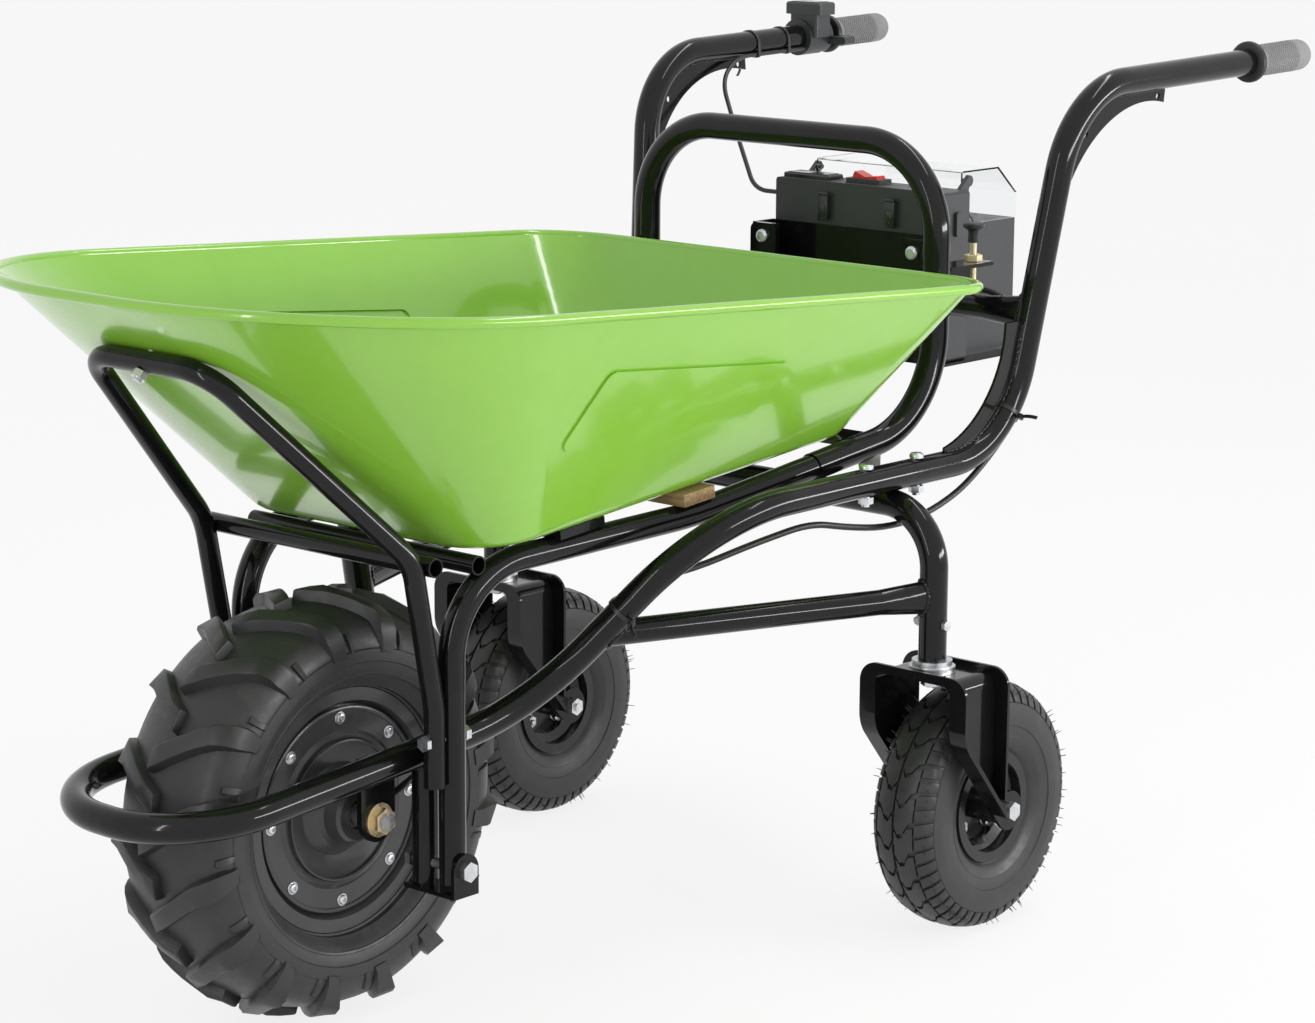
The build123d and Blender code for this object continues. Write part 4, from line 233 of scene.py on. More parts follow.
class SurfaceEffects:
    """Node groups that several finishes share, each built once."""

    @staticmethod
    def _start(name: str, inputs: dict[str, float], output: str) -> tuple[NodeSheet, Node, NodeSocket]:
        """Begins a group with its sockets.

        Args:
            name: The group's name.
            inputs: Float inputs and their defaults.
            output: Name of its one output.

        Returns:
            The sheet, the group's input node and the socket that takes the result.
        """
        tree = bpy.data.node_groups.new(name, "ShaderNodeTree")
        for label, value in inputs.items():
            socket = tree.interface.new_socket(label, in_out="INPUT", socket_type="NodeSocketFloat")
            socket.default_value = value
        tree.interface.new_socket(output, in_out="OUTPUT", socket_type="NodeSocketFloat")
        sheet = NodeSheet(tree)
        given = sheet.add("NodeGroupInput")
        result = sheet.add("NodeGroupOutput")
        return sheet, given, result.inputs[0]

    @staticmethod
    @cache
    def mottle() -> NodeTree:
        """Uneven gloss: two noises from a low to a high value.

        Returns:
            The group.
        """
        inputs = {"Scale": 12.0, "Low": 0.2, "High": 0.4}
        sheet, given, result = SurfaceEffects._start("mottle", inputs, "Value")
        broad = sheet.noise(given.outputs["Scale"], 4.0)
        fine = sheet.noise(sheet.math("MULTIPLY", given.outputs["Scale"], 9.0), 2.0)
        both = sheet.math("MULTIPLY_ADD", fine, 0.35, sheet.math("MULTIPLY", broad, 0.65))
        sheet.feed(result, sheet.spread(both, 0.32, 0.66, given.outputs["Low"], given.outputs["High"]))
        return sheet.tree

    @staticmethod
    @cache
    def dust() -> NodeTree:
        """Dust and small scuffs: more on upward faces, broken up by noise.

        Returns:
            The group.
        """
        sheet, given, result = SurfaceEffects._start("dust", {"Scale": 60.0, "Amount": 0.3}, "Mask")
        facing = sheet.add("ShaderNodeSeparateXYZ")
        sheet.feed(facing.inputs[0], sheet.add("ShaderNodeTexCoord").outputs["Normal"])
        lying = sheet.spread(facing.outputs["Z"], -0.1, 1.0, 0.35, 1.0)
        patches = sheet.spread(sheet.noise(given.outputs["Scale"], 6.0), 0.48, 0.72)
        small = sheet.math("MULTIPLY", given.outputs["Scale"], 14.0)
        specks = sheet.spread(sheet.noise(small, 1.0), 0.66, 0.74)
        both = sheet.math("ADD", patches, sheet.math("MULTIPLY", specks, 0.7))
        mask = sheet.math("MULTIPLY", sheet.math("MULTIPLY", both, lying), given.outputs["Amount"])
        sheet.feed(result, sheet.math("MINIMUM", mask, 1.0))
        return sheet.tree

    @staticmethod
    @cache
    def grain() -> NodeTree:
        """Height of a fine skin: orange peel, moulded grain or cast skin by its scale.

        Returns:
            The group.
        """
        sheet, given, result = SurfaceEffects._start("grain", {"Scale": 900.0}, "Height")
        fine = sheet.noise(given.outputs["Scale"], 2.0)
        broad = sheet.noise(sheet.math("MULTIPLY", given.outputs["Scale"], 0.22), 2.0)
        sheet.feed(result, sheet.math("MULTIPLY_ADD", broad, 0.6, sheet.math("MULTIPLY", fine, 0.4)))
        return sheet.tree


class MaterialSheet(NodeSheet):
    """Node sheet of a material, with its Principled shader and the shared effects."""

    def __init__(self, made: Material) -> None:
        """Takes over the material's node tree."""
        made.use_nodes = True
        super().__init__(made.node_tree)
        self.shader = self.tree.nodes["Principled BSDF"]

    def give(self, name: str, source: "NodeSocket | float | tuple") -> None:
        """Feeds an input of the shader."""
        self.feed(self.shader.inputs[name], source)

    def effect(self, group: NodeTree, **values: float) -> NodeSocket:
        """Places a shared effect.

        Args:
            group: The effect's node group.
            values: Its inputs by name.

        Returns:
            The effect's output.
        """
        node = self.add("ShaderNodeGroup", node_tree=group)
        for name, value in values.items():
            node.inputs[name].default_value = value
        return node.outputs[0]

    def mottle(self, scale: float, low: float = 0.0, high: float = 1.0) -> NodeSocket:
        """Value that varies over the surface from low to high."""
        return self.effect(SurfaceEffects.mottle(), Scale=scale, Low=low, High=high)

    def dusty(self, scale: float, amount: float) -> NodeSocket:
        """Mask of dust and small scuffs."""
        return self.effect(SurfaceEffects.dust(), Scale=scale, Amount=amount)

    def two_tone(self, share: NodeSocket, first: Colour, second: Colour) -> NodeSocket:
        """Mixes two plain colours."""
        return self.blend(share, (*first, 1), (*second, 1))

    def bump(self, height: NodeSocket, depth: float) -> None:
        """Gives the shader a bump.

        Args:
            height: Height from 0 to 1.
            depth: Depth of the bump in millimetres.
        """
        node = self.add("ShaderNodeBump")
        node.inputs["Strength"].default_value = 1.0
        node.inputs["Distance"].default_value = depth * MM
        self.feed(node.inputs["Height"], height)
        self.give("Normal", node.outputs[0])

    def skin(self, scale: float, depth: float) -> None:
        """Gives the shader a fine skin, with its depth in millimetres."""
        self.bump(self.effect(SurfaceEffects.grain(), Scale=scale), depth)


class Finish:
    """What every finish shares: a name, and a material that its own layers make up."""

    name: str

    def lay(self, sheet: MaterialSheet) -> None:
        """Lays the finish on the sheet of a new material."""
        raise NotImplementedError

    def make(self) -> Material:
        """Builds the material.

        Returns:
            The finished material.
        """
        made = bpy.data.materials.new(self.name)
        self.lay(MaterialSheet(made))
        return made


@dataclass(frozen=True)
class Paint(Finish):
    """Sprayed and baked paint with an orange-peel skin under a gloss coat."""

    name: str
    colour: Colour
    shade: Colour
    dust_colour: Colour
    gloss: tuple[float, float] = (0.16, 0.3)
    coat: float = 0.5
    dust: float = 0.25
    peel: float = 0.012
    shine: float = 0.5
    coat_gloss: float = 0.06
    dust_dulls: float = 0.4
    tone_scale: float = 7.0
    dust_scale: float = 26.0
    gloss_scale: float = 16.0
    peel_scale: float = 420.0

    def lay(self, sheet: MaterialSheet) -> None:
        """Lays an uneven colour, dust, the coat and the orange peel.

        Args:
            sheet: The material's sheet.
        """
        dusty = sheet.dusty(self.dust_scale, self.dust)
        paint = sheet.two_tone(sheet.mottle(self.tone_scale), self.colour, self.shade)
        gloss = sheet.mottle(self.gloss_scale, *self.gloss)
        sheet.give("Base Color", sheet.blend(dusty, paint, (*self.dust_colour, 1)))
        sheet.give("Roughness", sheet.math("MULTIPLY_ADD", dusty, self.dust_dulls, gloss))
        sheet.give("Coat Weight", self.coat)
        sheet.give("Coat Roughness", self.coat_gloss)
        sheet.give("Specular IOR Level", self.shine)
        sheet.skin(self.peel_scale, self.peel)


@dataclass(frozen=True)
class Moulded(Finish):
    """Moulded plastic with a fine grain, paler where dust lies."""

    name: str
    colour: Colour
    pale: Colour
    gloss: tuple[float, float] = (0.36, 0.52)
    skin: float = 0.06
    dust: float = 0.3
    shine: float = 0.5
    dust_scale: float = 40.0
    gloss_scale: float = 40.0
    skin_scale: float = 1300.0

    def tone(self, sheet: MaterialSheet) -> NodeSocket:
        """The colour with its dust."""
        return sheet.two_tone(sheet.dusty(self.dust_scale, self.dust), self.colour, self.pale)

    def lay(self, sheet: MaterialSheet) -> None:
        """Lays the colour, the gloss and the grain.

        Args:
            sheet: The material's sheet.
        """
        sheet.give("Base Color", self.tone(sheet))
        sheet.give("Roughness", sheet.mottle(self.gloss_scale, *self.gloss))
        sheet.give("Specular IOR Level", self.shine)
        sheet.skin(self.skin_scale, self.skin)


@dataclass(frozen=True)
class Rubber(Moulded):
    """Moulded rubber, dull, with a dusty bloom and a coarser skin."""

    gloss: tuple[float, float] = (0.5, 0.72)
    skin: float = 0.12
    dust: float = 0.5
    dust_scale: float = 34.0
    gloss_scale: float = 22.0
    skin_scale: float = 700.0


@dataclass(frozen=True, kw_only=True)
class KnurledRubber(Moulded):
    """Grip rubber with painted shade in the valleys of its diamond knurl."""

    centre: Vector
    way: Vector
    knurl: tuple[float, float]
    around: int
    pitch: float
    fade: float = 0.003
    # Width and darkness of the painted shade laid in the knurl's valleys.
    valley_width: float = 0.6
    valley_share: float = 0.25
    gloss: tuple[float, float] = (0.42, 0.62)
    dust: float = 0.4
    dust_scale: float = 50.0
    gloss_scale: float = 30.0
    skin_scale: float = 900.0

    def tone(self, sheet: MaterialSheet) -> NodeSocket:
        """The colour with its dust, and painted shade in the valleys.

        Args:
            sheet: The material's sheet.

        Returns:
            The colour.
        """
        turn = self.way.rotation_difference(UP).to_euler()
        place = sheet.add("ShaderNodeSeparateXYZ")
        sheet.feed(place.inputs[0], sheet.turned_place(self.centre * MM, tuple(turn)))
        bearing = sheet.math("ARCTAN2", place.outputs["Y"], place.outputs["X"])
        angle = sheet.math("MULTIPLY", bearing, self.around)
        along = sheet.math("MULTIPLY", place.outputs["Z"], 2 * math.pi / (self.pitch * MM))
        waves = []
        for slant in ("ADD", "SUBTRACT"):
            half = sheet.math("MULTIPLY", sheet.math(slant, angle, along), 0.5)
            waves.append(sheet.math("ABSOLUTE", sheet.math("SINE", half)))
        cut = sheet.math("MINIMUM", *waves)
        start, end = (value * MM for value in self.knurl)
        inside = sheet.math("MULTIPLY", sheet.spread(place.outputs["Z"], start, start + self.fade),
                            sheet.spread(place.outputs["Z"], end - self.fade, end, 1.0, 0.0))
        # Painted shade: the knurl's valleys are darkened in the colour to stand in for the shade that falls
        # in them; dark is that shade's colour.
        valley_shade = sheet.math("MULTIPLY", sheet.spread(cut, 0.0, self.valley_width, 1.0, 0.0), inside)
        dark = tuple(value * self.valley_share for value in self.colour)
        return sheet.blend(valley_shade, super().tone(sheet), (*dark, 1))


@dataclass(frozen=True)
class PlatedSteel(Finish):
    """Zinc-plated or bare steel, brushed and a little uneven."""

    name: str
    colour: Colour
    tint: Colour
    gloss: tuple[float, float] = (0.24, 0.42)
    brushing: float = 0.02
    tone_scale: float = 90.0
    gloss_scale: float = 140.0
    brushing_scale: float = 1800.0

    def lay(self, sheet: MaterialSheet) -> None:
        """Lays the uneven metal colour, the gloss and the brushing.

        Args:
            sheet: The material's sheet.
        """
        sheet.give("Base Color", sheet.two_tone(sheet.mottle(self.tone_scale), self.colour, self.tint))
        sheet.give("Metallic", 1.0)
        sheet.give("Roughness", sheet.mottle(self.gloss_scale, *self.gloss))
        sheet.skin(self.brushing_scale, self.brushing)


@dataclass(frozen=True)
class ClearPlastic(Finish):
    """Clear folded sheet with faint wipe marks."""

    name: str
    tint: Colour
    bend: float = 1.2
    gloss: tuple[float, float] = (0.01, 0.06)
    wipe_scale: float = 24.0

    def lay(self, sheet: MaterialSheet) -> None:
        """Lays the clear body and its wipe marks.

        Args:
            sheet: The material's sheet.
        """
        sheet.give("Base Color", (*self.tint, 1))
        sheet.give("Transmission Weight", 1.0)
        sheet.give("IOR", self.bend)
        sheet.give("Roughness", sheet.mottle(self.wipe_scale, *self.gloss))


@dataclass(frozen=True)
class Timber(Finish):
    """Raw packing timber with grain along the piece."""

    name: str
    colour: Colour
    dark: Colour
    stretch: float = 0.06
    depth: float = 0.25
    scale: float = 380.0
    detail: float = 5.0
    tone_range: tuple[float, float] = (0.35, 0.68)
    gloss_range: tuple[float, float] = (0.3, 0.7)
    gloss: tuple[float, float] = (0.6, 0.85)

    def lay(self, sheet: MaterialSheet) -> None:
        """Lays the grain as colour, gloss and bump.

        Args:
            sheet: The material's sheet.
        """
        place = sheet.turned_place(Vector((0, 0, 0)), stretch=(1.0, self.stretch, 1.0))
        grain = sheet.noise(self.scale, self.detail, place)
        tone = sheet.spread(grain, *self.tone_range)
        sheet.give("Base Color", sheet.two_tone(tone, self.colour, self.dark))
        sheet.give("Roughness", sheet.spread(grain, *self.gloss_range, *self.gloss))
        sheet.bump(grain, self.depth)


class FinishRack:
    """All the barrow's finishes by the record's slot, and a few more for the finer pieces."""

    def __init__(self) -> None:
        """Makes every finish once."""
        dust = (0.13, 0.125, 0.115)
        rack: list[tuple[str, Finish]] = [
            ("frame_black", Paint("gloss_black_paint", (0.005, 0.005, 0.0054), (0.0075, 0.0075, 0.008), dust,
                                  gloss=(0.12, 0.2), coat=0.32, dust=0.03, shine=0.12, coat_gloss=0.04)),
            ("tray_green", Paint("lime_green_paint", (0.265, 0.565, 0.05), (0.252, 0.545, 0.044),
                                 (0.4, 0.6, 0.2), gloss=(0.16, 0.24), coat=0.6, dust=0.03, peel=0.006)),
            ("hub_black", Paint("satin_black_paint", (0.032, 0.032, 0.033), (0.042, 0.042, 0.043), dust,
                                gloss=(0.28, 0.4), coat=0.15, dust=0.14, peel=0.03)),
            ("rim_black", Paint("rim_black_paint", (0.012, 0.012, 0.013), (0.018, 0.018, 0.019), dust,
                                gloss=(0.18, 0.3), coat=0.3, dust=0.1, shine=0.2)),
            ("zinc", PlatedSteel("bright_zinc", (0.68, 0.69, 0.7), (0.56, 0.57, 0.6))),
            ("yellow_zinc", PlatedSteel("yellow_zinc", (0.76, 0.6, 0.33), (0.66, 0.58, 0.45))),
            ("axle_steel", PlatedSteel("ground_steel", (0.48, 0.48, 0.49), (0.38, 0.38, 0.4))),
            ("tyre", Rubber("tyre_rubber", (0.028, 0.028, 0.0285), (0.085, 0.083, 0.079), gloss=(0.36, 0.5),
                            dust=0.35, shine=0.42)),
            ("grip_rubber", Rubber("plain_grip_rubber", (0.11, 0.11, 0.112), (0.2, 0.2, 0.2))),
            ("buffer_rubber", Rubber("pale_buffer_rubber", (0.34, 0.34, 0.33), (0.42, 0.41, 0.4))),
            ("strip_wood", Timber("raw_timber", (0.46, 0.3, 0.15), (0.3, 0.18, 0.085))),
            ("box_plastic", Moulded("box_plastic", (0.027, 0.0285, 0.031), (0.08, 0.08, 0.08))),
            ("display_face", Moulded("display_plastic", (0.014, 0.015, 0.017), (0.05, 0.05, 0.05),
                                     gloss=(0.16, 0.26), skin=0.01, dust=0.2)),
            ("rocker_red", Moulded("rocker_red_plastic", (0.62, 0.025, 0.02), (0.66, 0.12, 0.1),
                                   gloss=(0.2, 0.32), skin=0.02, dust=0.2)),
            ("clear_hood", ClearPlastic("clear_sheet", (0.97, 0.98, 0.985))),
            ("lead_black", Moulded("lead_sheath", (0.013, 0.013, 0.013), (0.05, 0.05, 0.05),
                                   gloss=(0.3, 0.46), skin=0.03)),
            ("window", Moulded("dark_window", (0.006, 0.008, 0.008), (0.03, 0.03, 0.03),
                               gloss=(0.05, 0.12), skin=0.0, dust=0.15)),
            ("hand_stop", Rubber("hand_stop_rubber", (0.014, 0.014, 0.014), (0.06, 0.06, 0.06),
                                 gloss=(0.38, 0.55))),
        ]
        self.materials: dict[str, Material] = {slot: finish.make() for slot, finish in rack}

    def __getitem__(self, slot: str) -> Material:
        """The material of a slot."""
        return self.materials[slot]

    def dress_nodes(self) -> None:
        """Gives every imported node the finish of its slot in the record."""
        for row in frame["record"]["subparts"]:
            node = frame["nodes"][row["node"]]
            for holder in node.material_slots:
                holder.material = self.materials[row["material_slot"]]
        log.info("dressed %d nodes", len(frame["nodes"]))


def shown(name: str, data: ID) -> Object:
    """Puts some data into the scene as an object.

    Args:
        name: The object's name.
        data: Its mesh, curve, light or camera.

    Returns:
        The object.
    """
    made = bpy.data.objects.new(name, data)
    bpy.context.scene.collection.objects.link(made)
    return made


class Bench:
    """Ways of making meshes that several assemblies share. Everything on the bench is in millimetres."""

    @staticmethod
    def standing(foot: Vector, way: Vector) -> Matrix:
        """Place of a part whose origin lies on a point and whose Z axis takes a direction."""
        return Matrix.Translation(foot) @ UP.rotation_difference(way).to_matrix().to_4x4()

    @staticmethod
    def spoke(turn: float) -> Vector:
        """Direction out from a wheel's axle, at an angle in radians."""
        return Vector((math.cos(turn), 0, math.sin(turn)))

    @staticmethod
    def both_halves(half: Profile) -> Profile:
        """Whole section of a tyre from its left half, which begins and ends in the middle."""
        return half + [(-out, radius) for out, radius in reversed(half) if out > 0]

    @staticmethod
    def turn(mesh: BMesh, profile: Profile, centre: Vector, axis: Vector, steps: int,
             closed: bool = True) -> None:
        """Turns a profile about an axis.

        Args:
            mesh: Mesh that takes the shape.
            profile: Places along the axis and radii.
            centre: Point on the axis.
            axis: Direction of the axis.
            steps: Steps of the full turn.
            closed: Whether the last point joins the first.
        """
        part = bmesh.new()
        points = [part.verts.new((radius, 0, along)) for along, radius in profile]
        pairs = list(zip(points, points[1:]))
        if closed:
            pairs.append((points[-1], points[0]))
        edges = [part.edges.new(pair) for pair in pairs]
        bmesh.ops.spin(part, geom=points + edges, cent=(0, 0, 0), axis=UP, dvec=(0, 0, 0), angle=2 * math.pi,
                       steps=steps, use_merge=True, use_normal_flip=False, use_duplicate=False)
        bmesh.ops.remove_doubles(part, verts=part.verts, dist=1e-3)
        Bench.append(mesh, part, [Bench.standing(centre, axis)])

    @staticmethod
    def bevel(mesh: BMesh, edges: list[BMEdge], width: float, segments: int = 2) -> None:
        """Rounds edges.

        Args:
            mesh: Mesh that holds them.
            edges: The edges.
            width: Width of the rounding.
            segments: Its steps.
        """
        bmesh.ops.bevel(mesh, geom=edges, offset=width, offset_type="OFFSET", affect="EDGES",
                        segments=segments, profile=0.5, material=-1, clamp_overlap=True)

    @staticmethod
    def append(mesh: BMesh, part: BMesh, places: list[Matrix]) -> None:
        """Sets copies of a finished part into a mesh.

        Args:
            mesh: Mesh that takes the copies.
            part: The part, which is used up.
            places: Where each copy goes.
        """
        bmesh.ops.recalc_face_normals(part, faces=part.faces)
        data = bpy.data.meshes.new("part")
        part.to_mesh(data)
        part.free()
        for place in places:
            copy = data.copy()
            copy.transform(place)
            mesh.from_mesh(copy)
            bpy.data.meshes.remove(copy)
        bpy.data.meshes.remove(data)

    @staticmethod
    def block(mesh: BMesh, size: tuple[float, float, float], place: Matrix, round_by: float,
              segments: int = 3) -> None:
        """Block with rounded edges.

        Args:
            mesh: Mesh that takes the shape.
            size: Its three lengths.
            place: Where it goes.
            round_by: Rounding of its edges.
            segments: Steps of the rounding.
        """
        part = bmesh.new()
        bmesh.ops.create_cube(part, size=1.0)
        bmesh.ops.scale(part, vec=size, verts=part.verts)
        Bench.bevel(part, part.edges[:], round_by, segments)
        Bench.append(mesh, part, [place])

    @staticmethod
    def hexagon(mesh: BMesh, seat: Vector, way: Vector, across: float, height: float,
                chamfer: float = 0.12) -> None:
        """Bolt head or nut with chamfered corners.

        Args:
            mesh: Mesh that takes the shape.
            seat: Middle of its seat.
            way: Direction that it stands in.
            across: Width across its flats.
            height: Its height.
            chamfer: Share of the smaller of both that its corners lose.
        """
        radius = across / 2 / math.cos(math.pi / 6)
        made = bmesh.ops.create_cone(mesh, cap_ends=True, cap_tris=False, segments=6, radius1=radius,
                                     radius2=radius, depth=height)["verts"]
        top = [vert for vert in made if vert.co.z > 0]
        rim = list(dict.fromkeys(edge for vert in top for edge in vert.link_edges
                                 if edge.verts[0] in top and edge.verts[1] in top))
        bmesh.ops.transform(mesh, matrix=Bench.standing(seat + way * height / 2, way), verts=made)
        Bench.bevel(mesh, rim, min(height, across) * chamfer)

    @staticmethod
    def islands(node: str) -> list[np.ndarray]:
        """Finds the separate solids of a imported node.

        Args:
            node: The node's name.

        Returns:
            Points of each solid, in millimetres.
        """
        mesh = bmesh.new()
        mesh.from_mesh(frame["nodes"][node].data)
        bmesh.ops.remove_doubles(mesh, verts=mesh.verts, dist=1e-6)
        waiting = dict.fromkeys(mesh.verts)
        found = []
        while waiting:
            first = next(iter(waiting))
            del waiting[first]
            island, edge = [], [first]
            while edge:
                vert = edge.pop()
                island.append(vert.co / MM)
                for link in vert.link_edges:
                    other = link.other_vert(vert)
                    if other in waiting:
                        del waiting[other]
                        edge.append(other)
            found.append(np.array(island))
        mesh.free()
        return found

    @staticmethod
    def publish(mesh: BMesh, name: str, finish: Material, body: str, slot: str,
                sharp: float = 38.0) -> Object:
        """Makes a finished mesh a piece that rides on a body.

        Args:
            mesh: The mesh in millimetres, which is used up.
            name: The piece's name.
            finish: Its material.
            body: Body that it rides on.
            slot: The record's slot of its finish; not used.
            sharp: Angle in degrees past which an edge stays sharp.

        Returns:
            The piece.
        """
        bmesh.ops.recalc_face_normals(mesh, faces=mesh.faces)
        bmesh.ops.scale(mesh, vec=(MM, MM, MM), verts=mesh.verts)
        data = bpy.data.meshes.new(name)
        mesh.to_mesh(data)
        mesh.free()
        data.shade_smooth()
        data.set_sharp_from_angle(angle=math.radians(sharp))
        data.materials.append(finish)
        piece = shown(name, data)
        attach(piece, body)
        log.info("%s: %d faces on %s", name, len(data.polygons), body)
        return piece


@dataclass(frozen=True)
class Station:
    """Place along a tread bar: on the carcass, with its lean, height, width and run back round the tyre."""

    out: float
    radius: float
    lean: float
    height: float
    width: float
    back: float


@dataclass
class TreadBar:
    """Raised bar of a tread, laid over the carcass from station to station."""

    stations: list[Station]
    round_by: float = 1.6
    sink: float = 3.0
    draft: float = 0.14

    def build(self, reach: float) -> BMesh:
        """Makes the bar at the top of a tyre that turns about the Y axis through the origin.

        Args:
            reach: Radius at which the run back is measured.

        Returns:
            The bar.
        """
        bar = bmesh.new()
        bmesh.ops.create_cube(bar, size=1.0)
        runs = [edge for edge in bar.edges if abs(edge.verts[0].co.y - edge.verts[1].co.y) > 0.5]
        bmesh.ops.subdivide_edges(bar, edges=runs, cuts=len(self.stations) - 2, use_grid_fill=True)
        crest = [edge for edge in bar.edges if all(vert.co.z > 0.4 for vert in edge.verts)
                 and (abs(edge.verts[0].co.y - edge.verts[1].co.y) > 1e-6 or abs(edge.verts[0].co.y) > 0.49)]
        for vert in bar.verts:
            station = self.stations[round((vert.co.y + 0.5) * (len(self.stations) - 1))]
            height = station.height if vert.co.z > 0 else -self.sink
            width = station.width * (1 - self.draft if vert.co.z > 0 else 1 + self.draft)
            lean = math.radians(station.lean)
            radius = station.radius + math.cos(lean) * height
            turn = (vert.co.x * width - station.back) / reach
            out = station.out + math.sin(lean) * height
            vert.co = (radius * math.sin(turn), out, radius * math.cos(turn))
        Bench.bevel(bar, crest, self.round_by)
        return bar

    def ring(self, mesh: BMesh, reach: float, count: int, start: float, side: Side) -> None:
        """Repeats the bar round the tyre.

        Args:
            mesh: Mesh that takes the bars.
            reach: Radius at which the run back is measured.
            count: Bars in the ring.
            start: Turn of the first one in degrees.
            side: Side of the tread.
        """
        bar = self.build(reach)
        if side is Side.RIGHT:
            bmesh.ops.scale(bar, vec=(1, -1, 1), verts=bar.verts)
        turns = [math.radians(start) + 2 * math.pi * step / count for step in range(count)]
        Bench.append(mesh, bar, [Matrix.Rotation(turn, 4, "Y") for turn in turns])


@dataclass
class DriveWheel:
    """Lugged tyre of the drive wheel, and the screws and rings of its hub covers."""

    rack: FinishRack
    lugs: int = 16
    reach: float = 203.0
    crown: float = 192.0
    crown_drop: float = 14.0
    tread_half: float = 56.0
    screw_circle: float = 87.0
    screw_face: float = 41.0
    screws: int = 8

    def __post_init__(self) -> None:
        """Finds the wheel's middle."""
        low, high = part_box("drive_tyre")
        self.middle = (low + high) / 2 / MM

    def casing(self) -> Profile:
        """Section of the left half of the carcass from the crown to the bead, with its rings.

        Returns:
            Distances from the middle and radii.
        """
        tread = [(out, self.crown - self.crown_drop * (out / self.tread_half) ** 2)
                 for out in (0, 12, 24, 36, 47, self.tread_half)]
        wall = [(60.2, 172.0), (63.6, 165.0), (66.0, 157.5), (66.2, 155.0), (67.4, 154.0), (67.9, 148.0),
                (67.6, 143.0), (66.2, 142.0), (65.6, 138.0), (64.0, 132.5), (64.6, 131.5), (63.9, 129.6),
                (62.4, 129.4), (59.0, 124.6), (54.0, 120.6), (52.2, 118.2), (47.4, 117.6), (46.4, 115.8)]
        return tread + wall

    def tyre(self) -> None:
        """Builds the tyre: carcass, two rows of swept lugs and the small ribs between their feet."""
        mesh = bmesh.new()
        inner = [(41.5, 115.4), (41.5, 103.5), (28.0, 103.5), (28.0, 119.0), (53.0, 148.0), (42.0, 164.0),
                 (0.0, 178.0)]
        Bench.turn(mesh, Bench.both_halves(self.casing() + inner), Vector(), ACROSS, steps=144)
        lug = TreadBar([
            Station(-8, 191.7, 0, 10.4, 23, 0), Station(4, 191.9, 0, 10.9, 23.5, 6.5),
            Station(16, 190.9, 0, 10.7, 24, 15), Station(28, 188.5, 2, 10.5, 24.5, 23.5),
            Station(38, 185.5, 6, 10.4, 25, 31), Station(47, 182.2, 14, 10.2, 26, 37),
            Station(54, 178.5, 28, 10.4, 27, 41), Station(58.5, 174, 42, 9.8, 27.5, 43.5),
            Station(61.8, 168.5, 58, 8.6, 27, 45.5), Station(64.2, 162.5, 72, 6.9, 25.5, 47),
            Station(66, 157, 80, 4.6, 23, 48), Station(67, 152.5, 86, 2.4, 20, 48.5)], round_by=1.8)
        bite = TreadBar([
            Station(60.5, 171, 54, 2.2, 9, 68), Station(63, 166, 68, 2.4, 9, 69),
            Station(65.4, 159, 78, 2.2, 8.5, 70), Station(66.6, 154, 85, 1.4, 8, 70.5)], round_by=0.8)
        for side in Side:
            start = 0.0 if side is Side.LEFT else 180.0 / self.lugs
            for bar in (lug, bite):
                bar.ring(mesh, self.reach, self.lugs, start, side)
        bmesh.ops.translate(mesh, vec=self.middle, verts=mesh.verts)
        piece = Bench.publish(mesh, "lugged_tyre", self.rack["tyre"], "drive_wheel", "tyre", sharp=42.0)
        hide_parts("drive_tyre")

    def cover_screws(self) -> None:
        """Builds the pan-head screws with washers and sockets that hold the hub covers."""
        mesh = bmesh.new()
        head = [(-1.0, 0.0), (-1.0, 6.0), (0.5, 6.2), (0.9, 5.9), (1.0, 4.7), (2.2, 4.6), (3.0, 3.9),
                (3.4, 2.6), (3.45, 1.9), (2.0, 1.7), (2.0, 0.0)]
        for side in Side:
            way = ACROSS * side.value
            for step in range(self.screws):
                spoke = Bench.spoke(2 * math.pi * step / self.screws)
                seat = self.middle + spoke * self.screw_circle + way * self.screw_face
                Bench.turn(mesh, head, seat, way, steps=18, closed=False)
        piece = Bench.publish(mesh, "cover_screw_heads", self.rack["zinc"], "drive_wheel", "zinc", sharp=30.0)
        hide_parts("cover_screws")

    def cover_rings(self) -> None:
        """Builds the turned step and the seal ring that show on each hub cover."""
        mesh = bmesh.new()
        step = [(40.4, 97.6), (42.2, 97.4), (43.0, 96.2), (43.0, 94.4), (42.2, 93.4), (40.4, 93.2)]
        seal = [(45.2, 66.5), (46.0, 66.2), (46.4, 65.2), (46.0, 64.2), (45.0, 63.9), (43.0, 65.2)]
        for side in Side:
            for ring in (step, seal):
                Bench.turn(mesh, ring, self.middle, ACROSS * side.value, steps=96)
        Bench.publish(mesh, "cover_rings", self.rack["hub_black"], "drive_wheel", "hub_black")

    def build(self) -> None:
        """Builds every piece of the drive wheel."""
        self.tyre()
        self.cover_screws()
        self.cover_rings()


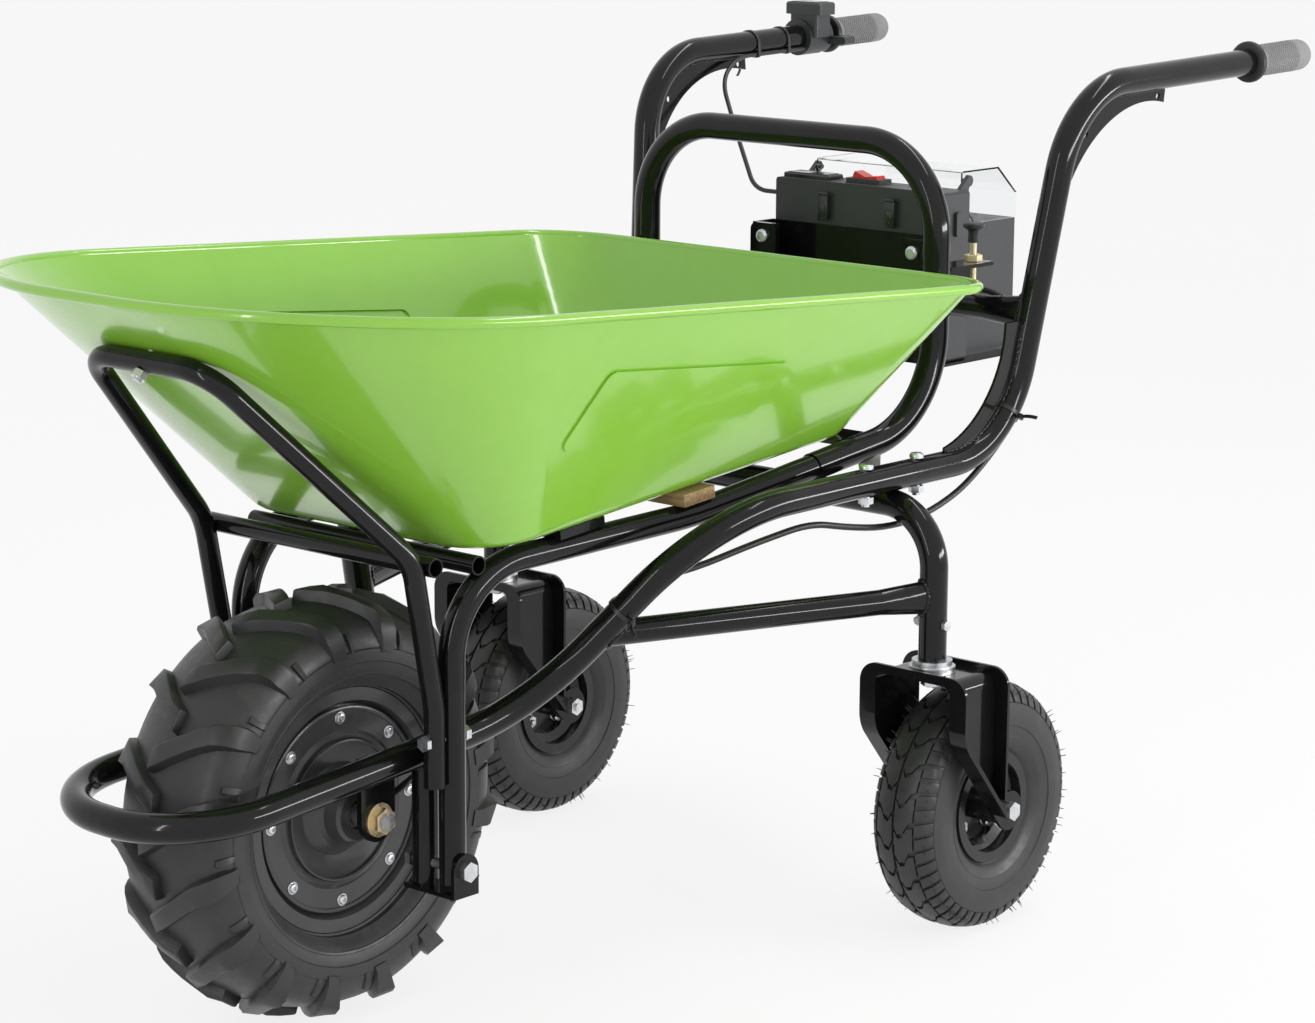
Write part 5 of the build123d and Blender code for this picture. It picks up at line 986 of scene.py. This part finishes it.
@dataclass
class Castor:
    """Tyre, rim bolts and valve of one castor."""

    rack: FinishRack
    side: Side
    reach: float = 123.0
    shoulder_blocks: int = 52
    middle_blocks: int = 26
    hairs: int = 130
    hair_seed: int = 11
    hair_lean: tuple[float, float] = (16, 56)
    hair_length: tuple[float, float] = (3.4, 7.6)
    hair_foot: tuple[float, float] = (30.4, 114.5)
    hair_lift: float = 2.2
    hair_radii: tuple[float, float] = (0.5, 0.22)
    bolts: int = 4
    bolt_circle: float = 31.0
    bolt_face: float = 3.0
    bolt_across: float = 13.4
    bolt_height: float = 5.2
    washer_top: float = 1.4
    valve_turn: float = math.radians(300)
    valve_circle: float = 42.5
    valve_out: float = 14.5
    valve_lean: tuple[float, float] = (9, 5)

    def __post_init__(self) -> None:
        """Finds the wheel's middle."""
        low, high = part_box(f"{self.side.word}_castor_tyre")
        self.middle = (low + high) / 2 / MM
        self.body = f"{self.side.word}_castor_wheel"

    def tyre(self) -> None:
        """Builds the tyre: carcass, zigzag middle blocks, shoulder blocks and moulding hairs."""
        mesh = bmesh.new()
        half = [(0.0, 123.6), (9.0, 123.2), (18.0, 121.6), (26.0, 118.2), (30.0, 114.6), (33.6, 108.6),
                (34.4, 107.0), (35.8, 106.2), (37.2, 99.0), (37.8, 92.0), (37.2, 84.0), (36.2, 83.4),
                (35.6, 79.0), (34.0, 73.0), (34.4, 72.2), (33.4, 69.6), (31.4, 66.0), (29.8, 62.4),
                (27.4, 60.4), (25.6, 58.2), (25.6, 50.4), (18.0, 50.4), (18.0, 61.0), (29.0, 92.0),
                (18.0, 107.0), (0.0, 112.0)]
        Bench.turn(mesh, Bench.both_halves(half), Vector(), ACROSS, steps=120)
        shoulder = TreadBar([
            Station(22.5, 120.0, 14, 3.3, 11.6, 0), Station(27.0, 117.4, 26, 3.2, 11.6, 1.2),
            Station(30.6, 113.8, 42, 2.9, 11.4, 2.2), Station(33.4, 109.2, 60, 2.2, 11.0, 3.0),
            Station(34.6, 106.6, 72, 1.2, 10.6, 3.4)], round_by=0.7, sink=2.0, draft=0.05)
        zigzag = TreadBar([
            Station(1.2, 123.6, 0, 3.4, 24.5, 0), Station(5.6, 123.4, 2, 3.4, 24.5, -7.5),
            Station(11.0, 122.9, 5, 3.4, 24.5, -6.0), Station(16.0, 122.0, 8, 3.3, 24.5, 3.5),
            Station(20.8, 120.8, 12, 3.2, 24.5, 5.0)], round_by=0.7, sink=2.0, draft=0.03)
        for side in Side:
            start = 0.0 if side is Side.LEFT else 180.0 / self.middle_blocks
            shoulder.ring(mesh, self.reach, self.shoulder_blocks, start / 2, side)
            zigzag.ring(mesh, self.reach, self.middle_blocks, start, side)
        self.moulding_hairs(mesh)
        bmesh.ops.translate(mesh, vec=self.middle, verts=mesh.verts)
        piece = Bench.publish(mesh, f"{self.side.word}_castor_tread", self.rack["tyre"], self.body, "tyre",
                              sharp=40.0)
        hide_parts(f"{self.side.word}_castor_tyre")

    def moulding_hairs(self, mesh: BMesh) -> None:
        """Adds the thin rubber hairs that the mould leaves on the shoulders.

        Args:
            mesh: The tyre's mesh, with the wheel's middle at its origin.
        """
        draw = random.Random(self.hair_seed if self.side is Side.LEFT else self.hair_seed + 1)
        out, radius = self.hair_foot
        thick, thin = self.hair_radii
        for _ in range(self.hairs):
            turn = draw.uniform(0, 2 * math.pi)
            lean = math.radians(draw.uniform(*self.hair_lean)) * draw.choice((1, -1))
            length = draw.uniform(*self.hair_length)
            way = Vector((math.sin(turn) * math.cos(lean), math.sin(lean), math.cos(turn) * math.cos(lean)))
            foot = Vector((math.sin(turn) * radius, math.copysign(out, lean), math.cos(turn) * radius))
            made = bmesh.ops.create_cone(mesh, cap_ends=True, segments=5, radius1=thick, radius2=thin,
                                         depth=length)["verts"]
            place = Bench.standing(foot + way * (length / 2 + self.hair_lift), way)
            bmesh.ops.transform(mesh, matrix=place, verts=made)

    def rim_bolts(self) -> None:
        """Builds the bright bolts with washers that hold the two rim halves together."""
        mesh = bmesh.new()
        washer = [(-0.5, 0.0), (-0.5, 8.6), (1.2, 8.6), (1.5, 8.2), (1.5, 0.0)]
        stud = [(6.0, 0.0), (6.0, 3.0), (8.6, 3.0), (9.2, 2.4), (9.2, 0.0)]
        for side in Side:
            way = ACROSS * side.value
            for step in range(self.bolts):
                spoke = Bench.spoke(math.radians(360 / self.bolts * (step + 0.5)))
                seat = self.middle + spoke * self.bolt_circle + way * self.bolt_face
                Bench.turn(mesh, washer, seat, way, steps=20, closed=False)
                Bench.hexagon(mesh, seat + way * self.washer_top, way, self.bolt_across, self.bolt_height)
                Bench.turn(mesh, stud, seat, way, steps=14, closed=False)
        Bench.publish(mesh, f"{self.side.word}_rim_bolts", self.rack["zinc"], self.body, "zinc", sharp=30.0)

    def valve(self) -> None:
        """Builds the tyre's valve with its cap, standing on the sloped wall of the outer rim half."""
        spoke = Bench.spoke(self.valve_turn)
        outward, inward = self.valve_lean
        way = (ACROSS * (outward * self.side.value) - spoke * inward).normalized()
        seat = self.middle + spoke * self.valve_circle + ACROSS * (self.valve_out * self.side.value)
        stem = [(-1.5, 0.0), (-1.5, 6.4), (1.4, 6.2), (3.0, 4.8), (4.2, 4.1), (9.0, 3.8), (9.6, 3.3),
                (11.0, 3.3), (11.0, 4.2), (11.5, 4.6), (18.6, 4.4), (19.6, 3.8), (20.0, 2.4), (20.1, 0.0)]
        mesh = bmesh.new()
        Bench.turn(mesh, stem, seat, way, steps=20, closed=False)
        Bench.publish(mesh, f"{self.side.word}_tyre_valve", self.rack["hand_stop"], self.body, "tyre")

    def build(self) -> None:
        """Builds every piece of the castor."""
        self.tyre()
        self.rim_bolts()
        self.valve()


@dataclass
class HandGrip:
    """Knurled rubber grip with its black hand stop on one handle."""

    rack: FinishRack
    side: Side
    crest: tuple[float, float, float] = (-312.0, 286.0, 831.0)
    end: tuple[float, float, float] = (-728.0, 290.0, 843.0)
    bore: float = 14.1
    knurl: tuple[float, float] = (28.5, 91.6)
    around: int = 26
    pitch: float = 3.8
    knurl_depth: float = 0.9
    groove: float = 0.7
    land: float = 16.9
    end_wall: float = 4.0
    fine_steps: int = 6

    def __post_init__(self) -> None:
        """Finds the grip's closed end and its direction towards the front."""
        flip = Vector((1, self.side.value, 1))
        self.way = (Vector(self.crest) - Vector(self.end)).normalized() * flip
        self.tip = Vector(self.end) * flip - self.way * self.end_wall

    def press_knurl(self, mesh: BMesh) -> None:
        """Presses the diamond pattern into the sleeve.

        Args:
            mesh: The sleeve's mesh.
        """
        turn = self.way.rotation_difference(UP)
        for vert in mesh.verts:
            local = turn @ (vert.co - self.tip)
            radius = math.hypot(local.x, local.y)
            if radius < self.bore + 1 or not self.knurl[0] < local.z < self.knurl[1]:
                continue
            angle = math.atan2(local.y, local.x) * self.around
            along = local.z * 2 * math.pi / self.pitch
            cut = min(abs(math.sin((angle + along) / 2)), abs(math.sin((angle - along) / 2)))
            local.xy *= 1 - self.knurl_depth * max(1 - cut / self.groove, 0) / radius
            vert.co = self.tip + turn.inverted() @ local

    def build(self) -> None:
        """Builds the sleeve and the hand stop."""
        fine = self.pitch / self.fine_steps
        first, last = self.knurl
        rows = [(first + fine * step, self.land) for step in range(int((last - first) / fine))]
        sleeve = [(0.0, 0.0), (0.0, 7.0), (0.5, 9.6), (1.7, 12.4), (3.8, 14.6), (6.4, 15.9), (9.5, 16.6),
                  (24.0, 17.0), (27.0, 17.0), (27.8, 16.7), *rows, (92.0, 16.7), (92.8, 17.0),
                  (100.0, 17.0), (100.0, self.bore), (4.2, self.bore), (4.2, 0.0)]
        mesh = bmesh.new()
        Bench.turn(mesh, sleeve, self.tip, self.way, steps=self.around * self.fine_steps, closed=False)
        self.press_knurl(mesh)
        finish = KnurledRubber(f"{self.side.word}_grip_rubber", (0.225, 0.225, 0.227), (0.32, 0.32, 0.32),
                               centre=self.tip, way=self.way, knurl=self.knurl, around=self.around,
                               pitch=self.pitch).make()
        piece = Bench.publish(mesh, f"{self.side.word}_grip_sleeve", finish, "chassis", "grip_rubber")
        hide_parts(f"{self.side.word}_grip")
        stop = [(98.0, 14.06), (98.0, 18.2), (99.2, 18.8), (100.2, 20.2), (101.2, 21.6), (102.6, 22.0),
                (105.0, 22.0), (106.6, 21.4), (107.4, 19.8), (108.0, 17.6), (108.0, 14.06)]
        mesh = bmesh.new()
        Bench.turn(mesh, stop, self.tip, self.way, steps=56)
        Bench.publish(mesh, f"{self.side.word}_hand_stop", self.rack["hand_stop"], "chassis", "grip_rubber")


@dataclass
class LockPin:
    """Plated pin of the tray's lock with its black knob, and the nut that guides it."""

    rack: FinishRack
    knob_height: float = 21.0
    plate_top: float = 651.0

    def build(self) -> None:
        """Builds the pin, its knob and the nut."""
        low, high = (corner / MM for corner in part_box("lock_pin"))
        tip = Vector(((low.x + high.x) / 2, (low.y + high.y) / 2, low.z))
        foot = high.z - low.z - self.knob_height
        pin = [(0.0, 0.0), (0.0, 2.2), (1.4, 3.5), (6.0, 3.5), (6.3, 3.1), (7.3, 3.1), (7.6, 3.5),
               (foot, 3.5), (foot, 0.0)]
        mesh = bmesh.new()
        Bench.turn(mesh, pin, tip, UP, steps=32, closed=False)
        piece = Bench.publish(mesh, "lock_pin_shaft", self.rack["yellow_zinc"], "lock", "yellow_zinc")
        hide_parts("lock_pin")
        knob = [(0.0, 0.0), (0.0, 5.2), (0.8, 6.0), (9.5, 5.3), (12.5, 6.2), (14.6, 9.2), (15.4, 10.6),
                (16.8, 11.0), (19.2, 10.8), (20.3, 9.6), (20.8, 6.6), (self.knob_height, 0.0)]
        mesh = bmesh.new()
        Bench.turn(mesh, knob, tip + UP * foot, UP, steps=40, closed=False)
        Bench.publish(mesh, "lock_pin_knob", self.rack["hand_stop"], "lock", "box_plastic")
        nut = [(-0.1, 4.3), (-0.1, 9.1), (0.5, 9.5), (6.3, 9.5), (7.05, 8.7), (7.1, 4.3)]
        mesh = bmesh.new()
        Bench.turn(mesh, nut, Vector((tip.x, tip.y, self.plate_top)), UP, steps=6)
        Bench.publish(mesh, "lock_nut", self.rack["yellow_zinc"], "tipping_frame", "yellow_zinc", sharp=20.0)


@dataclass(frozen=True)
class TubeEnd:
    """End of a tube welded to a node: a point on its middle line, its direction and its half sizes."""

    point: tuple[float, float, float]
    towards: tuple[float, float, float]
    level: float
    tall: float
    node: str


@dataclass
class Welds:
    """Weld beads where tubes meet and where gussets sit on the handles."""

    rack: FinishRack
    bead: float = 2.3
    seam_bead: float = 1.7
    seam_margin: float = 5.0
    ripple: float = 1.7
    points: int = 84
    found_share: float = 0.8
    ray: float = 0.25
    steep: float = 0.95
    touch: float = 0.4
    swell: float = 0.16
    swell_steps: int = 4
    unevenness: float = 0.08
    loop_seed: int = 20
    seam_seed: int = 40

    def loop(self, end: TubeEnd, side: Side) -> list[Vector]:
        """Follows the line where a tube meets a node.

        Args:
            end: The tube's end on the left side.
            side: Side of the barrow.

        Returns:
            Points of the line, in millimetres.
        """
        flip = Vector((1, side.value, 1))
        start = Vector(end.point) * flip
        way = (Vector(end.towards) * flip - start).normalized()
        across = UP.cross(way) if abs(way.z) < self.steep else AHEAD.cross(way)
        across.normalize()
        rise = way.cross(across)
        name = end.node.replace("left", side.word)
        tree = BVHTree.FromObject(frame["nodes"][name], bpy.context.evaluated_depsgraph_get())
        found = []
        for step in range(self.points):
            turn = 2 * math.pi * step / self.points
            ray = start + across * (end.level * math.cos(turn)) + rise * (end.tall * math.sin(turn))
            hit = tree.ray_cast(ray * MM, way, self.ray)[0]
            if hit is not None:
                found.append(hit / MM)
        return found

    def seams(self) -> list[list[Vector]]:
        """Follows the lines where the gusset plates meet the handles, on both faces of each plate.

        Returns:
            Points of each line, in millimetres.
        """
        found = []
        for points in Bench.islands("handle_gussets"):
            middle = points.mean(axis=0)
            flat = np.linalg.svd(points - middle)[2][2]
            side = Side.LEFT if middle[1] > 0 else Side.RIGHT
            handle = frame["nodes"][f"{side.word}_handle"]
            tree = BVHTree.FromObject(handle, bpy.context.evaluated_depsgraph_get())
            touching = np.array([point for point in points
                                 if tree.find_nearest(Vector(point) * MM)[3] < self.touch * MM])
            for face in (1, -1):
                edge = touching[(touching - middle) @ flat * face > 0]
                run = np.linalg.svd(edge - edge.mean(axis=0))[2][0]
                edge = edge[np.argsort(edge @ run)]
                gone = np.concatenate(([0.0], np.cumsum(np.linalg.norm(np.diff(edge, axis=0), axis=1))))
                marks = np.arange(self.seam_margin, gone[-1] - self.seam_margin, self.ripple)
                found.append([Vector([np.interp(mark, gone, edge[:, axis]) for axis in range(3)])
                              for mark in marks])
        return found

    def lay(self, mesh: BMesh, line: list[Vector], seed: int, bead: float, closed: bool) -> None:
        """Lays a rippled bead along a line.

        Args:
            mesh: Mesh that takes the bead.
            line: Points of the line.
            seed: Seed of its unevenness.
            bead: Its radius.
            closed: Whether the line closes on itself.
        """
        draw = random.Random(seed)
        curve = bpy.data.curves.new("weld_line", "CURVE")
        curve.dimensions = "3D"
        curve.bevel_depth = bead
        curve.use_fill_caps = not closed
        curve.bevel_resolution = 2
        spline = curve.splines.new("POLY")
        spline.points.add(len(line) - 1)
        for step, (point, place) in enumerate(zip(spline.points, line)):
            point.co = (*place, 1)
            swell = self.swell * math.sin(step * 2 * math.pi / self.swell_steps)
            point.radius = 1.0 + swell + draw.uniform(-self.unevenness, self.unevenness)
        spline.use_cyclic_u = closed
        holder = shown("weld_line", curve)
        solid = bpy.data.meshes.new_from_object(holder.evaluated_get(bpy.context.evaluated_depsgraph_get()))
        mesh.from_mesh(solid)
        bpy.data.objects.remove(holder)
        bpy.data.curves.remove(curve)
        bpy.data.meshes.remove(solid)

    def build(self) -> None:
        """Lays the beads of the frame's tube joints and of the gussets."""
        ends = [
            TubeEnd((150.0, 205.3, 349.6), (256.4, 162.4, 349.4), 12.5, 12.5, "main_rail"),
            TubeEnd((-42.9, 283.0, 350.0), (-80.0, 298.0, 350.0), 8.7, 17.3, "castor_arch"),
            TubeEnd((-279.4, 190.0, 605.0), (-279.4, 263.8, 605.0), 8.7, 17.2, "left_handle"),
            TubeEnd((429.0, 104.0, 190.0), (429.0, 104.0, 290.0), 12.5, 12.5, "main_rail"),
        ]
        mesh = bmesh.new()
        for index, end in enumerate(ends):
            for side in Side:
                line = self.loop(end, side)
                if len(line) > self.found_share * self.points:
                    self.lay(mesh, line, self.loop_seed + 2 * index + side.value, self.bead, closed=True)
                log.info("weld on %s %s: %d points", side.word, end.node, len(line))
        for index, line in enumerate(self.seams()):
            self.lay(mesh, line, self.seam_seed + index, self.seam_bead, closed=False)
            log.info("weld on gusset: %d points", len(line))
        Bench.publish(mesh, "frame_welds", self.rack["frame_black"], "chassis", "frame_black", sharp=60.0)


@dataclass
class TieHeads:
    """Locking heads and cut tails of the cable ties."""

    rack: FinishRack
    tail: float = 26.0
    tail_width: float = 3.6
    tail_thickness: float = 1.1
    tail_bend: float = 0.7
    tail_rise: float = math.radians(38)
    head: tuple[float, float, float] = (6.4, 5.4, 4.4)
    head_round: float = 0.8
    head_out: float = 1.6
    tail_out: float = 2.2
    facing: tuple[float, float, float] = (0.25, 0.7, -0.66)

    def strip(self) -> BMesh:
        """Makes the bent tail of a tie, from the head outwards.

        Returns:
            The tail.
        """
        part = bmesh.new()
        bmesh.ops.create_cube(part, size=1.0)
        bmesh.ops.scale(part, vec=(self.tail, self.tail_width, self.tail_thickness), verts=part.verts)
        runs = [edge for edge in part.edges if abs(edge.verts[0].co.x - edge.verts[1].co.x) > 1.0]
        bmesh.ops.subdivide_edges(part, edges=runs, cuts=8, use_grid_fill=True)
        radius = self.tail / self.tail_bend
        for vert in part.verts:
            bend = (vert.co.x / self.tail + 0.5) * self.tail_bend
            reach = radius + vert.co.z
            vert.co = (math.sin(bend) * reach, vert.co.y, radius - math.cos(bend) * reach)
        return part

    def build(self) -> None:
        """Builds a head and a tail on each band."""
        mesh = bmesh.new()
        lift = Matrix.Rotation(-self.tail_rise, 4, "Y")
        for points in Bench.islands("cable_ties"):
            middle = points.mean(axis=0)
            spread = np.linalg.svd(points - middle)[2]
            axis = Vector(spread[2]).normalized()
            side = Side.LEFT if middle[1] > 0 else Side.RIGHT
            outward = Vector(self.facing) * Vector((1, side.value, 1))
            outward = (outward - axis * outward.dot(axis)).normalized()
            reach = max(float((point - middle) @ np.array(outward)) for point in points)
            seat = Vector(middle) + outward * reach
            along = axis.cross(outward).normalized()
            turn = Matrix((along, axis, outward)).transposed().to_4x4()
            head_place = Matrix.Translation(seat + outward * self.head_out) @ turn
            Bench.block(mesh, self.head, head_place, self.head_round)
            tail_place = Matrix.Translation(seat + outward * self.tail_out) @ turn @ lift
            Bench.append(mesh, self.strip(), [tail_place])
        Bench.publish(mesh, "tie_heads", self.rack["lead_black"], "chassis", "lead_black")


@dataclass
class ControlDetails:
    """Windows of the control box and the throttle head, and the latch clips of the box's lid."""

    rack: FinishRack
    window_height: float = 1.2
    window_lift: float = 0.1
    window_round: float = 0.5
    window_rim: float = 1.6
    window_dish: float = 0.3
    latch_ys: tuple[float, float] = (-45.0, 45.0)
    latch_z: float = 683.0
    catch_depth: float = 5.0
    latch_out: float = 5.6

    def window(self, node: str, name: str, inset: tuple[float, float]) -> None:
        """Lays a dark window on top of a node.

        Args:
            node: Node that carries it.
            name: The piece's name.
            inset: Share of the node's length and width that it covers.
        """
        low, high = (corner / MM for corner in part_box(node))
        size = ((high.x - low.x) * inset[0], (high.y - low.y) * inset[1], self.window_height)
        seat = Vector(((low.x + high.x) / 2, (low.y + high.y) / 2, high.z + self.window_lift))
        mesh = bmesh.new()
        Bench.block(mesh, size, Matrix.Translation(seat), self.window_round)
        top = max(mesh.faces, key=lambda face: (face.normal.z > 0.99) * face.calc_area())
        bmesh.ops.inset_region(mesh, faces=[top], thickness=self.window_rim, depth=-self.window_dish)
        Bench.publish(mesh, name, self.rack["window"], "chassis", "display_face")

    def latches(self) -> None:
        """Builds the bent clips that hold the box's lid, over the catches moulded on its front."""
        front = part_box("control_box")[1].x / MM - self.catch_depth
        plate = ((1.6, 13.0, 30.0), Vector((0, 0, 0)), 0.7)
        lip = ((3.2, 13.0, 3.4), Vector((0.6, 0, 14.2)), 1.0)
        rib = ((1.4, 7.0, 12.0), Vector((0.9, 0, -3.0)), 0.6)
        mesh = bmesh.new()
        for latch_y in self.latch_ys:
            seat = Vector((front + self.latch_out, latch_y, self.latch_z))
            for size, shift, round_by in (plate, lip, rib):
                Bench.block(mesh, size, Matrix.Translation(seat + shift), round_by)
        Bench.publish(mesh, "lid_latches", self.rack["display_face"], "chassis", "box_plastic")

    def build(self) -> None:
        """Builds every detail."""
        self.window("display", "box_display_window", (0.74, 0.84))
        self.window("throttle_housing", "throttle_window", (0.62, 0.72))
        self.latches()


@dataclass
class Studio:
    """Pale floor, soft light and the camera at the photograph's place."""

    yaw: float = 41.51
    pitch: float = 11.78
    roll: float = 0.347
    place: tuple[float, float, float] = (2.6426, 2.3457, 1.1415)
    focal_pixels: float = 3557.0
    frame_pixels: float = 1315.0
    sensor: float = 36.0
    floor_half: float = 14.0
    floor_white: float = 0.82
    surround: float = 0.64
    aim: tuple[float, float, float] = (0.0, 0.0, 0.45)

    def camera(self) -> None:
        """Sets up the camera."""
        yaw, pitch, roll = (math.radians(angle) for angle in (self.yaw, self.pitch, self.roll))
        back = Vector((math.cos(pitch) * math.cos(yaw), math.cos(pitch) * math.sin(yaw), math.sin(pitch)))
        right = UP.cross(back).normalized()
        rise = back.cross(right)
        level = right * math.cos(roll) + rise * math.sin(roll)
        upright = rise * math.cos(roll) - right * math.sin(roll)
        lens = bpy.data.cameras.new("camera")
        lens.sensor_fit = "HORIZONTAL"
        lens.sensor_width = self.sensor
        lens.lens = self.sensor * self.focal_pixels / self.frame_pixels
        lens.clip_end = 60.0
        holder = shown("camera", lens)
        turn = Matrix((level, upright, back)).transposed().to_4x4()
        holder.matrix_world = Matrix.Translation(Vector(self.place)) @ turn
        bpy.context.scene.camera = holder

    def floor(self) -> None:
        """Lays the pale floor."""
        mesh = bmesh.new()
        bmesh.ops.create_grid(mesh, x_segments=8, y_segments=8, size=self.floor_half)
        data = bpy.data.meshes.new("floor")
        mesh.to_mesh(data)
        mesh.free()
        made = bpy.data.materials.new("pale_floor")
        sheet = MaterialSheet(made)
        tone = sheet.spread(sheet.noise(1.5, 2.0), 0.3, 0.7)
        sheet.give("Base Color", sheet.two_tone(tone, (0.93, 0.93, 0.93), (0.95, 0.95, 0.95)))
        sheet.give("Roughness", 0.9)
        sheet.give("Specular IOR Level", 0.1)
        white = sheet.add("ShaderNodeEmission").outputs[0]
        share = sheet.math("MULTIPLY", sheet.seen_rays(), self.floor_white)
        sheet.mix_onto("Material Output", share, sheet.shader.outputs[0], white)
        data.materials.append(made)
        ground = shown("floor", data)

    def lamp(self, name: str, place: Vector, size: tuple[float, float], power: float) -> None:
        """Hangs a soft box that faces the barrow.

        Args:
            name: Its name.
            place: Where it hangs.
            size: Width and height.
            power: Its power in watts.
        """
        light = bpy.data.lights.new(name, "AREA")
        light.shape = "RECTANGLE"
        light.size, light.size_y = size
        light.energy = power
        holder = shown(name, light)
        turn = (place - Vector(self.aim)).to_track_quat("Z", "Y").to_matrix().to_4x4()
        holder.matrix_world = Matrix.Translation(place) @ turn

    def world(self) -> None:
        """Gives the scene a soft white surround that shows as white."""
        made = bpy.data.worlds.new("studio")
        bpy.context.scene.world = made
        made.use_nodes = True
        sheet = NodeSheet(made.node_tree)
        soft = made.node_tree.nodes["Background"]
        white = sheet.add("ShaderNodeBackground")
        for light, strength in ((soft, self.surround), (white, 1.0)):
            light.inputs["Color"].default_value = (1, 1, 1, 1)
            light.inputs["Strength"].default_value = strength
        sheet.mix_onto("World Output", sheet.seen_rays(), soft.outputs[0], white.outputs[0])

    def build(self) -> None:
        """Sets up everything that isn't the barrow."""
        self.camera()
        self.floor()
        self.world()
        self.lamp("top_box", Vector((-1.0, 0.6, 2.6)), (2.2, 0.16), 14.0)
        self.lamp("side_box", Vector((-1.2, 2.6, 0.8)), (2.6, 0.24), 46.0)
        self.lamp("front_box", Vector((3.0, 0.6, 1.2)), (0.14, 1.8), 12.0)
        bpy.context.scene.view_settings.view_transform = "Standard"


def main() -> None:
    """Builds the scene in order."""
    logging.basicConfig(level=logging.INFO, format="%(message)s")
    Studio().build()
    rack = FinishRack()
    rack.dress_nodes()
    DriveWheel(rack).build()
    for side in Side:
        Castor(rack, side).build()
        HandGrip(rack, side).build()
    LockPin(rack).build()
    Welds(rack).build()
    TieHeads(rack).build()
    ControlDetails(rack).build()


if __name__ == "__main__":
    main()
